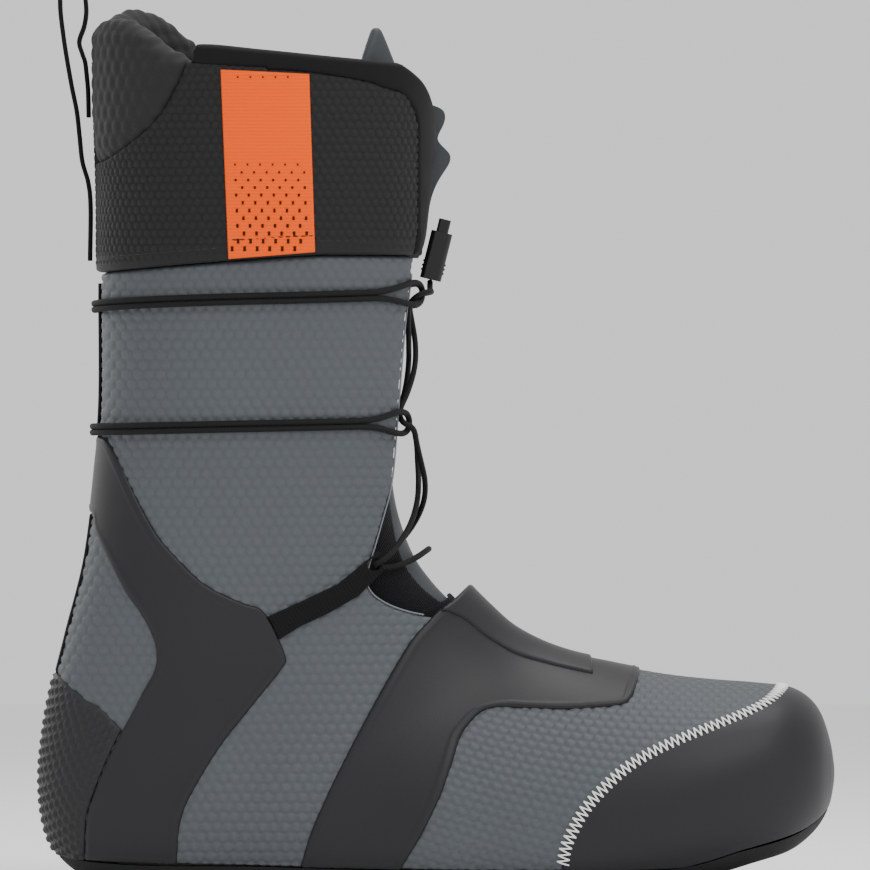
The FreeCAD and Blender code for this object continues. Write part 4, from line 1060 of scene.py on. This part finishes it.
class LINER_OT_pads(bpy.types.Operator):
    """Stuffed calf pads, swollen by a cloth simulation"""
    bl_idname = "liner.pads"
    bl_label = "Calf Pads"

    def execute(self, context):
        s = sizes()
        for which, shape in (("lateral", PAD_LATERAL), ("medial", PAD_MEDIAL)):
            def region(p, shape=shape):
                return least(side(shape, p), np.abs(p[:, 1]) - 7.4)

            piece = patch("calf_pad_soft_" + which, FINISHES["pad_fabric"], region, 3.2, -8.2,
                          (0.2, 3.0),
                          pair_turns(which), 1.6, 6.0, 0.25, pillow=True)
            self.swell(context, piece)
            points = np.array([v.co for v in piece.data.vertices], float) / MM
            normals = np.array([v.normal for v in piece.data.vertices], float)
            around = (points[:, 0] + np.abs(points[:, 1])) * 0.8
            height = 1 - ease(0.12, 0.5, staggered(around, points[:, 2], s["pad_pitch"])[0])
            points += normals * (height * s["pad_relief"])[:, None]
            piece.data.vertices.foreach_set("co", (points * MM).ravel())
            piece.data.update()
            settle(piece, "shell", "pad_black", "calf_pad_" + which)
        return {"FINISHED"}

    def swell(self, context, piece):
        """Even mesh, blown up a little by cloth under pressure, capped and subdivided."""
        remesh = piece.modifiers.new("even", "REMESH")
        remesh.mode = "VOXEL"
        remesh.voxel_size = 0.003
        self.apply(context, piece)
        rest = np.array([v.co for v in piece.data.vertices], float)
        cloth = piece.modifiers.new("cloth", "CLOTH")
        cloth.settings.use_pressure = True
        cloth.settings.uniform_pressure_force = PAD_PRESSURE
        cloth.settings.effector_weights.gravity = 0.0
        for number in range(1, PAD_FRAMES + 1):
            context.scene.frame_set(number)
        self.apply(context, piece)
        context.scene.frame_set(1)
        swollen = np.array([v.co for v in piece.data.vertices], float)
        move = swollen - rest
        length = np.linalg.norm(move, axis=1, keepdims=True)
        rest = rest + move * np.minimum(1, PAD_SWELL / np.maximum(length, 1e-9))
        piece.data.vertices.foreach_set("co", rest.ravel())
        smooth = piece.modifiers.new("soft", "SMOOTH")
        smooth.iterations = 4
        rounder = piece.modifiers.new("round", "SUBSURF")
        rounder.levels = rounder.render_levels = 2
        self.apply(context, piece)
        piece.data.shade_smooth()

    def apply(self, context, piece):
        context.view_layer.update()
        graph = context.evaluated_depsgraph_get()
        mesh = bpy.data.meshes.new_from_object(piece.evaluated_get(graph))
        piece.modifiers.clear()
        piece.data = mesh


class LINER_OT_overlays(bpy.types.Operator):
    """Heel harness, heel cup, back tape, instep overlay and harness webbing"""
    bl_idname = "liner.overlays"
    bl_label = "Overlays"

    def execute(self, context):
        s = sizes()

        def rim(p, along, around, edge):
            return 0.3 * np.exp(-((edge - 2.3) / 0.45) ** 2)

        def heel_studs(p, along, around, edge):
            return studs(around, along, s["stud_pitch"], s["stud_relief"]) * ease(0.6, 1.6, edge)

        def harness_region(p):
            return least(side(HARNESS_ZONE, p), side(ABOVE_FEATHER, p))

        def heel_region(p):
            return least(side(HEEL_ZONE, p), -side(HARNESS_ZONE, p), side(ABOVE_FEATHER, p))

        def stay_region(p):
            return least(7 - np.abs(p[:, 1]), p[:, 2] - 60, 134.5 - p[:, 2], -p[:, 0] - 80,
                         -side(HARNESS_ZONE, p), -side(HEEL_ZONE, p))

        def instep_region(p):
            return least(side(INSTEP_ZONE, p), side(ABOVE_FEATHER, p))

        def ridge_region(p):
            return least(side(RIDGE_ZONE, p), side(INSTEP_ZONE, p), p[:, 2] - 40)

        def strap_region(p):
            eye = np.hypot(p[:, 0] - STRAP_EYE[0], p[:, 2] - STRAP_EYE[1]) - STRAP_EYE_RADIUS
            return least(side(np.array(STRAP, float), p), -side(HARNESS_ZONE, p), eye)

        def strap_ribs(p, along, around, edge):
            return 0.16 * np.cos(2 * math.pi * (p[:, 0] * 0.86 + p[:, 2] * 0.51) / s["rib_pitch"])

        rubber = FINISHES["overlay_rubber"]
        for which in SIDES:
            turns = pair_turns(which)
            piece = patch("harness_" + which, rubber, harness_region, OVERLAY, -0.1, (3.5, 14.5),
                          turns, 0.8, 1.1,
                          0.25, rim)
            settle(piece, "shell", "overlay", "heel_harness_" + which)
            piece = patch("harness_webbing_" + which, FINISHES["black_webbing"], strap_region, 1.6,
                          -0.1,
                          (4.5, 12.0), turns, 0.35, 0.5, 0.6, strap_ribs, fade=0.4)
            settle(piece, "shell", "webbing_black", "harness_strap_" + which)
        piece = patch("studded_heel_cup", FINISHES["heel_rubber"], heel_region, OVERLAY - 0.3, -0.1,
                      (6.5, 13.0),
                      (0.25 * math.pi, 1.75 * math.pi), 0.6, 0.9, 0.3, heel_studs)
        settle(piece, "shell", "heel_rubber", "heel_cup")
        piece = patch("back_tape", FINISHES["edge_tape"], stay_region, 0.9, -0.1, (5.0, 9.5),
                      (0.5 * math.pi, 1.5 * math.pi), 0.8, 0.7, 0.3)
        settle(piece, "shell", "binding", "back_stay")
        piece = patch("instep_cover", rubber, instep_region, OVERLAY, -0.1, (8.0, 18.0),
                      (-math.pi, math.pi), 0.9,
                      1.1, 0.25, rim)
        settle(piece, "shell", "overlay", "instep_overlay")
        piece = patch("instep_raised_panel", rubber, ridge_region, RIDGE, OVERLAY - 0.2,
                      (8.0, 16.5),
                      (-0.6 * math.pi, 0.6 * math.pi), 0.8, 1.3, 0.15)
        settle(piece, "shell", "overlay", "instep_ridge")
        return {"FINISHED"}


class LINER_OT_tongue(bpy.types.Operator):
    """Padded tongue and its ribbed shield"""
    bl_idname = "liner.tongue"
    bl_label = "Tongue"

    def execute(self, context):
        def back(base, normal):
            return TONGUE_OUT - 1.5 - 5.5 * np.maximum(normal[:, 0], 0) ** 1.5

        piece = patch("soft_tongue", FINISHES["tongue_foam"], lambda p: side(TONGUE_ZONE, p),
                      TONGUE_OUT, back,
                      (0.3, 9.0), (-0.62 * math.pi, 0.62 * math.pi), 1.1, 2.5, 0.35, pillow=True)
        settle(piece, "tongue", "tongue_grey", "tongue")
        dress("tongue_shield", "tongue_foam")
        return {"FINISHED"}


class LINER_OT_label(bpy.types.Operator):
    """Ribbed label with its printed dots and its stitches"""
    bl_idname = "liner.label"
    bl_label = "Label"

    def execute(self, context):
        s = sizes()
        label_top = CUFF + 0.9

        def ribs(p, along, around, edge):
            return 0.22 * np.cos(2 * math.pi * p[:, 2] / s["rib_pitch"])

        shape = np.array(LABEL, float)
        piece = patch("ribbed_label", FINISHES["orange_webbing"], lambda p: side(shape, p),
                      label_top, CUFF - 0.4,
                      (0.5, 3.2), (-math.pi, 0), 0.3, 0.4, 0.5, ribs, fade=0.4)
        settle(piece, "shell", "label_orange", "label_tab")
        dots = []
        for row in range(13):
            z = 291.4 if row == 0 else 260.0 - 2.75 * (row - 1)
            grow = 0.3 + 0.045 * row
            for column in range(7):
                x = -73.5 + 4.5 * column + (2.25 if row % 2 else 0) + (262 - z) * 0.04
                edge = inside(shape, np.array([x]), np.array([z]))[0]
                if edge > 1.5 + 1.1 * (row > 0) * (row < 12) and (row or 0 < column < 6):
                    dots.append((x, z, 0.28 + 0.016 * row, grow))
        parts = []
        for x, z, half_x, half_z in dots:
            ring = [(x - half_x, z - half_z), (x + half_x, z - half_z), (x + half_x, z + half_z),
                    (x - half_x, z + half_z)]
            places = [SIDE_MAP.at(a, b, label_top) for a, b in ring]
            points = [p + n * 0.26 for p, n in places] + [p - n * 0.05 for p, n in places]
            faces = [[0, 1, 2, 3], [7, 6, 5, 4]] + [[k, k + 4, (k + 1) % 4 + 4, (k + 1) % 4]
                                                    for k in range(4)]
            parts.append((points, faces))
        piece = new_mesh("label_dots", *joined(parts), FINISHES["label_print"], False)
        settle(piece, "shell", "label_orange")
        threads = []
        for step in range(11):
            x = -72.2 + 2.75 * step
            z = 233.0 + 0.055 * (x + 72)
            line = [SIDE_MAP.at(x + share * 1.7, z, label_top + 0.12) for share in (0, 0.5, 1)]
            threads.append(line)
        piece = new_mesh("label_stitches", *stitches(threads, 0.2), FINISHES["dark_thread"])
        settle(piece, "shell", "thread_white")
        return {"FINISHED"}


class LINER_OT_stitching(bpy.types.Operator):
    """Zigzag stitching of the toe cap and the straight seams of the cuff"""
    bl_idname = "liner.stitching"
    bl_label = "Stitching"

    def execute(self, context):
        s = sizes()
        places, facing = self.seam_places()
        lengths = np.concatenate([[0], np.cumsum(np.linalg.norm(np.diff(places, axis=0), axis=1))])
        count = int(lengths[-1] / (s["zigzag_step"] / 2))
        even = np.linspace(0, lengths[-1], count + 1)
        line = np.stack([np.interp(even, lengths, places[:, k]) for k in range(3)], 1)
        facing = np.stack([np.interp(even, lengths, facing[:, k]) for k in range(3)], 1)
        run = np.gradient(line, axis=0)
        beside = np.cross(facing, run)
        beside *= s["zigzag_width"] / 2 / np.linalg.norm(beside, axis=1, keepdims=True)
        lines = []
        for k in range(count):
            sign = 1 if k % 2 else -1
            a, b = line[k] + beside[k] * sign, line[k + 1] - beside[k + 1] * sign
            lines.append([(a + (b - a) * share, facing[k]) for share in (0, 0.33, 0.67, 1)])
        piece = new_mesh("toe_zigzag_thread", *stitches(lines, 0.31, 0.3), FINISHES["white_thread"])
        settle(piece, "shell", "thread_white", "toe_cap_stitching")
        for which in SIDES:
            lines = []
            for x in np.arange(-116, -14, 3.0):
                if which == "lateral" and -78 < x < -42:
                    continue
                height = np.interp(x, [p for p, _ in HEM], [z for _, z in HEM]) + 5.0
                if x > -24 and height > 231:
                    continue
                lines.append([SIDE_MAP.at(x + share, height, CUFF + 0.1, which)
                              for share in (0, 1.0, 2.0)])
            piece = new_mesh("hem_stitches_" + which, *stitches(lines, 0.2, 0.25),
                             FINISHES["dark_thread"])
            settle(piece, None, "cuff_black")
            hinge(piece)
        return {"FINISHED"}

    def seam_places(self):
        """Places of the toe seam and their normals.

        It runs from the lateral feather line, over the top, to the medial one."""
        along = np.linspace(13.5, 22.5, 900)
        turns = np.linspace(-0.86 * math.pi, 0.86 * math.pi, 420)
        places, facing = [], []
        for turn in turns:
            line = bare_points(along, turn)
            depth = least(side(TOE_ZONE, line), side(ABOVE_FEATHER, line) - 2.2)
            start = np.argmax(depth > 0)
            if depth[start] > 0 and start > 0 and side(ABOVE_FEATHER,
                                                       line[start:start + 1])[0] > 2.8:
                normal = skin_normals(np.array(along[start]), np.array(turn))
                places.append(line[start] + normal * 0.85)
                facing.append(normal)
        places = np.array(places)
        for _ in range(6):
            places[1:-1] = 0.5 * places[1:-1] + 0.25 * (places[:-2] + places[2:])
        return places, np.array(facing)


EYELET = [(0.31, 0.0), (0.355, 3.0), (0.46, 4.2), (0.60, 3.2), (0.73, 1.9)]
LACE_DOWN = [
    (-1.1, -2.6, 218.4, 0), (-1.2, -5.5, 215.6, 0), (-0.8, -12, 214.8, 0), (-0.6, -19.5, 214.8, 0),
    (-4.8, -23.4, 213.9, 0), (-8.8, -21.3, 210.4, 0), (-9.0, -14.5, 204.5, 0.5),
    (-8.8, -6, 196.5, 1),
    (-8.8, 3, 188, 1), (-10.2, 11, 178.5, 0.5), (-12.6, 17.5, 171, 0), (-11.2, 22.8, 167.2, 0),
    (-6.9, 21.8, 165.6, 0), (-5.9, 16.5, 159.5, 0), (-5.6, 10, 153, 0.5), (-5.2, 3, 146, 1),
    (-5.6, -5, 138.5, 1),
    (-8, -14, 130.5, 0.5), (-12.2, -23.5, 123.5, 0), (-16.6, -31, 118.4, 0), (-21.2, -31.6, 116, 0),
    (-20.8, -27, 115, 0), (-15.2, -22.8, 114.8, 0), (-7, -14.5, 117.6, 0), (-1.5, -5, 121.5, 0),
]
LOOP_ROUTE = [(-124.4, 226), (-124.2, 245), (-125, 254), (-127.2, 262), (-128.2, 271),
              (-129.2, 280),
              (-131, 289), (-132.6, 298), (-134, 307), (-135.2, 318), (-134.6, 326.5),
              (-131, 331.6),
              (-127.4, 327), (-125.8, 318), (-126.4, 311.5), (-128.3, 305.5), (-127.2, 301),
              (-126.2, 298),
              (-125.6, 293), (-125.1, 287), (-124.9, 278)]


class LINER_OT_cords(bpy.types.Operator):
    """Braided shin cords, back cord, lace and pull loop"""
    bl_idname = "liner.cords"
    bl_label = "Cords and Lace"

    def execute(self, context):
        s = sizes()
        radius = s["cord_size"] / 2
        for name, top, droop in (("shin_cord_upper", 2.92, 0.16), ("shin_cord_lower", 4.33, 0.07)):
            path = spline_points(self.shin_route(top, droop, radius), True, 0.3)
            piece = new_mesh(name + "_braid", *tube(path, radius * 1.04, 12, True, 0.16, 2.6),
                             FINISHES["black_cord"])
            settle(piece, "shell", "cord_black", name)
        back = [skin_point(along, math.pi, BACK_CORD_RADIUS) * (1, 0, 1) for along in BACK_CORD]
        piece = new_mesh("back_cord_braid", *tube(spline_points(back, False, 0.3), BACK_CORD_RADIUS,
                                                  10, False, 0.16, 2.2),
                         FINISHES["black_cord"])
        settle(piece, "shell", "cord_black", "back_cord")
        route = [(x, y, z) for x, y, z, _ in LACE_DOWN]
        route += [(x + share * 1.25 * s["cord_size"], -y, z) for x, y, z, share in LACE_DOWN[::-1]]
        path = spline_points(route, False, 0.3)
        piece = new_mesh("lace_braid", *tube(path, radius, 10, False, 0.12, 2.4),
                         FINISHES["black_cord"])
        settle(piece, "shell", "cord_black", "lace")
        self.pull_loop(s)
        return {"FINISHED"}

    def shin_route(self, top, droop, radius):
        """Closed route of one shin cord."""
        apart = radius + 0.1
        side_points = [(turn, max(rise, apart) if turn > EYELET[0][0] else 0.0) for turn,
                       rise in EYELET]
        side_points += [(0.86 + (math.pi - 0.86) * step / 15, apart) for step in range(15)]
        strands = []
        for sign in (1, -1):
            strand = []
            for turn, rise in side_points:
                share = min(max((turn - 2.35) / 0.5, 0.0), 1.0)
                point = skin_point(top + droop * turn / math.pi, turn, radius + 0.55 + share * 1.9)
                strand.append(point + (0, 0, sign * rise))
            strands.append(strand)
        upper, lower = strands
        other_upper = [p * (1, -1, 1) for p in upper]
        other_lower = [p * (1, -1, 1) for p in lower]
        return upper + other_upper[::-1] + other_lower[1:] + lower[:0:-1]

    def pull_loop(self, s):
        """One band of ribbed webbing from the back of the cuff, up and over to its anchor."""
        line = smooth_line(LOOP_ROUTE, 24)
        lengths = np.concatenate([[0], np.cumsum(np.linalg.norm(np.diff(line, axis=0), axis=1))])
        even = np.linspace(0, lengths[-1], int(lengths[-1] / 0.3))
        line = np.stack([np.interp(even, lengths, line[:, k]) for k in (0, 1)], 1)
        run = np.gradient(line, axis=0)
        run /= np.linalg.norm(run, axis=1, keepdims=True)
        normal = np.stack([-run[:, 1], run[:, 0]], 1)
        section = [(-6, 0.0), (-5.8, 0.55), (-5.2, 0.72), (-3, 0.66), (0, 0.64), (3, 0.66),
                   (5.2, 0.72), (5.8, 0.55),
                   (6, 0), (5.8, -0.55), (5.2, -0.72), (3, -0.66), (0, -0.64), (-3, -0.66),
                   (-5.2, -0.72),
                   (-5.8, -0.55)]
        rings = []
        for k, (x, z) in enumerate(line):
            rib = 0.06 * math.cos(2 * math.pi * even[k] / s["rib_pitch"])
            for across, high in section:
                rise = high + math.copysign(rib, high) if high else 0.0
                rings.append((x + normal[k, 0] * rise, across, z + normal[k, 1] * rise))
        n = len(section)
        faces = [[k * n + j, k * n + (j + 1) % n, (k + 1) * n + (j + 1) % n, (k + 1) * n + j]
                 for k in range(len(line) - 1) for j in range(n)]
        faces += [list(range(n))[::-1], list(range(len(rings) - n, len(rings)))]
        piece = new_mesh("pull_loop_webbing", rings, faces, FINISHES["black_webbing"])
        settle(piece, None, "webbing_black", "pull_loop_base", "pull_loop_anchor", "pull_loop")
        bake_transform(piece)




class LINER_OT_lock(bpy.types.Operator):
    """Lace lock housing, button and spring, with its grip ribs"""
    bl_idname = "liner.lock"
    bl_label = "Lace Lock"

    def execute(self, context):
        dress("lock_housing", "lock_gloss")
        dress("lock_button", "lock_gloss")
        dress("lock_spring", "spring_steel")
        for node in ("lock_housing", "lock_button"):
            NODES[node].data.set_sharp_from_angle(angle=math.radians(40))
        tilt = math.radians(14)
        up = np.array([math.sin(tilt), 0, math.cos(tilt)])
        out = np.array([math.cos(tilt), 0, -math.sin(tilt)])
        centre = np.array([-1.0, 0, 219.2])
        parts = []
        for height in (3.0, 4.6, 6.2):
            for face in (1, -1):
                ends = [centre + up * height + out * face * 3.85 + np.array([0, y, 0])
                        for y in (-5, -2, 2, 5)]
                parts.append(tube(ends, 0.45, 8))
        piece = new_mesh("lock_grip_ribs", *joined(parts), FINISHES["lock_gloss"])
        settle(piece, "lace_lock", "lock_plastic")
        return {"FINISHED"}


class LINER_OT_stage(bpy.types.Operator):
    """Floor, lights, sky and camera"""
    bl_idname = "liner.stage"
    bl_label = "Stage"

    def execute(self, context):
        floor = new_mesh("pale_floor", [(-4000, -4000, 0), (4000, -4000, 0), (4000, 4000, 0),
                                        (-4000, 4000, 0)],
                         [[0, 1, 2, 3]], FINISHES["pale_floor"])
        world = bpy.data.worlds.new("soft sky")
        world.use_nodes = True
        world.node_tree.nodes["Background"].inputs["Color"].default_value = (1, 1, 1, 1)
        world.node_tree.nodes["Background"].inputs["Strength"].default_value = 0.95
        context.scene.world = world
        for name, place, size, power in (
            ("key", (0.5, -1.3, 1.6), 0.9, 13.0), ("fill", (1.6, -1.3, 0.5), 1.2, 2.5),
            ("top", (0.2, 0.1, 1.6), 0.9, 12.0), ("rim", (-1.2, 1.4, 0.9), 1.0, 5.0),
        ):
            lamp = bpy.data.lights.new(name, "AREA")
            lamp.size = size
            lamp.energy = power
            holder = bpy.data.objects.new(name, lamp)
            holder.location = place
            holder.rotation_euler = (Vector((0, 0, 0.15)) - Vector(place)).to_track_quat("-Z", "Y").to_euler()
            context.scene.collection.objects.link(holder)
        lens = bpy.data.cameras.new("view")
        lens.lens = 684.5
        lens.sensor_width = 36.0
        lens.clip_end = 50.0
        camera = bpy.data.objects.new("view", lens)
        camera.location = (0.0007, -6.0, 0.1628)
        camera.rotation_euler = (math.pi / 2, 0, 0)
        context.scene.collection.objects.link(camera)
        context.scene.camera = camera
        return {"FINISHED"}


OPERATORS = (LINER_OT_stage, LINER_OT_cords, LINER_OT_sole, LINER_OT_shell, LINER_OT_lining,
             LINER_OT_cuff,
             LINER_OT_pads, LINER_OT_overlays, LINER_OT_tongue, LINER_OT_label, LINER_OT_stitching,
             LINER_OT_lock)


class LINER_PT_panel(bpy.types.Panel):
    """Sizes, colours and pieces of the boot liner"""
    bl_idname = "LINER_PT_panel"
    bl_label = "Boot Liner"
    bl_space_type = "VIEW_3D"
    bl_region_type = "UI"
    bl_category = "Boot Liner"

    def draw(self, context):
        for group in (context.scene.liner_sizes, context.scene.liner_colours):
            box = self.layout.box()
            for name in type(group).__annotations__:
                box.prop(group, name)
        for operator in OPERATORS:
            self.layout.operator(operator.bl_idname)


CLASSES = (LinerSizes, LinerColours, *OPERATORS, LINER_PT_panel)


def register():
    for item in CLASSES:
        bpy.utils.register_class(item)
    bpy.types.Scene.liner_sizes = bpy.props.PointerProperty(type=LinerSizes)
    bpy.types.Scene.liner_colours = bpy.props.PointerProperty(type=LinerColours)


def unregister():
    del bpy.types.Scene.liner_colours
    del bpy.types.Scene.liner_sizes
    for item in reversed(CLASSES):
        bpy.utils.unregister_class(item)


def main():
    register()
    make_finishes(bpy.context.scene.liner_colours)
    for operator in OPERATORS:
        group, name = operator.bl_idname.split(".")
        getattr(getattr(bpy.ops, group), name)()


if __name__ == "__main__":
    main()
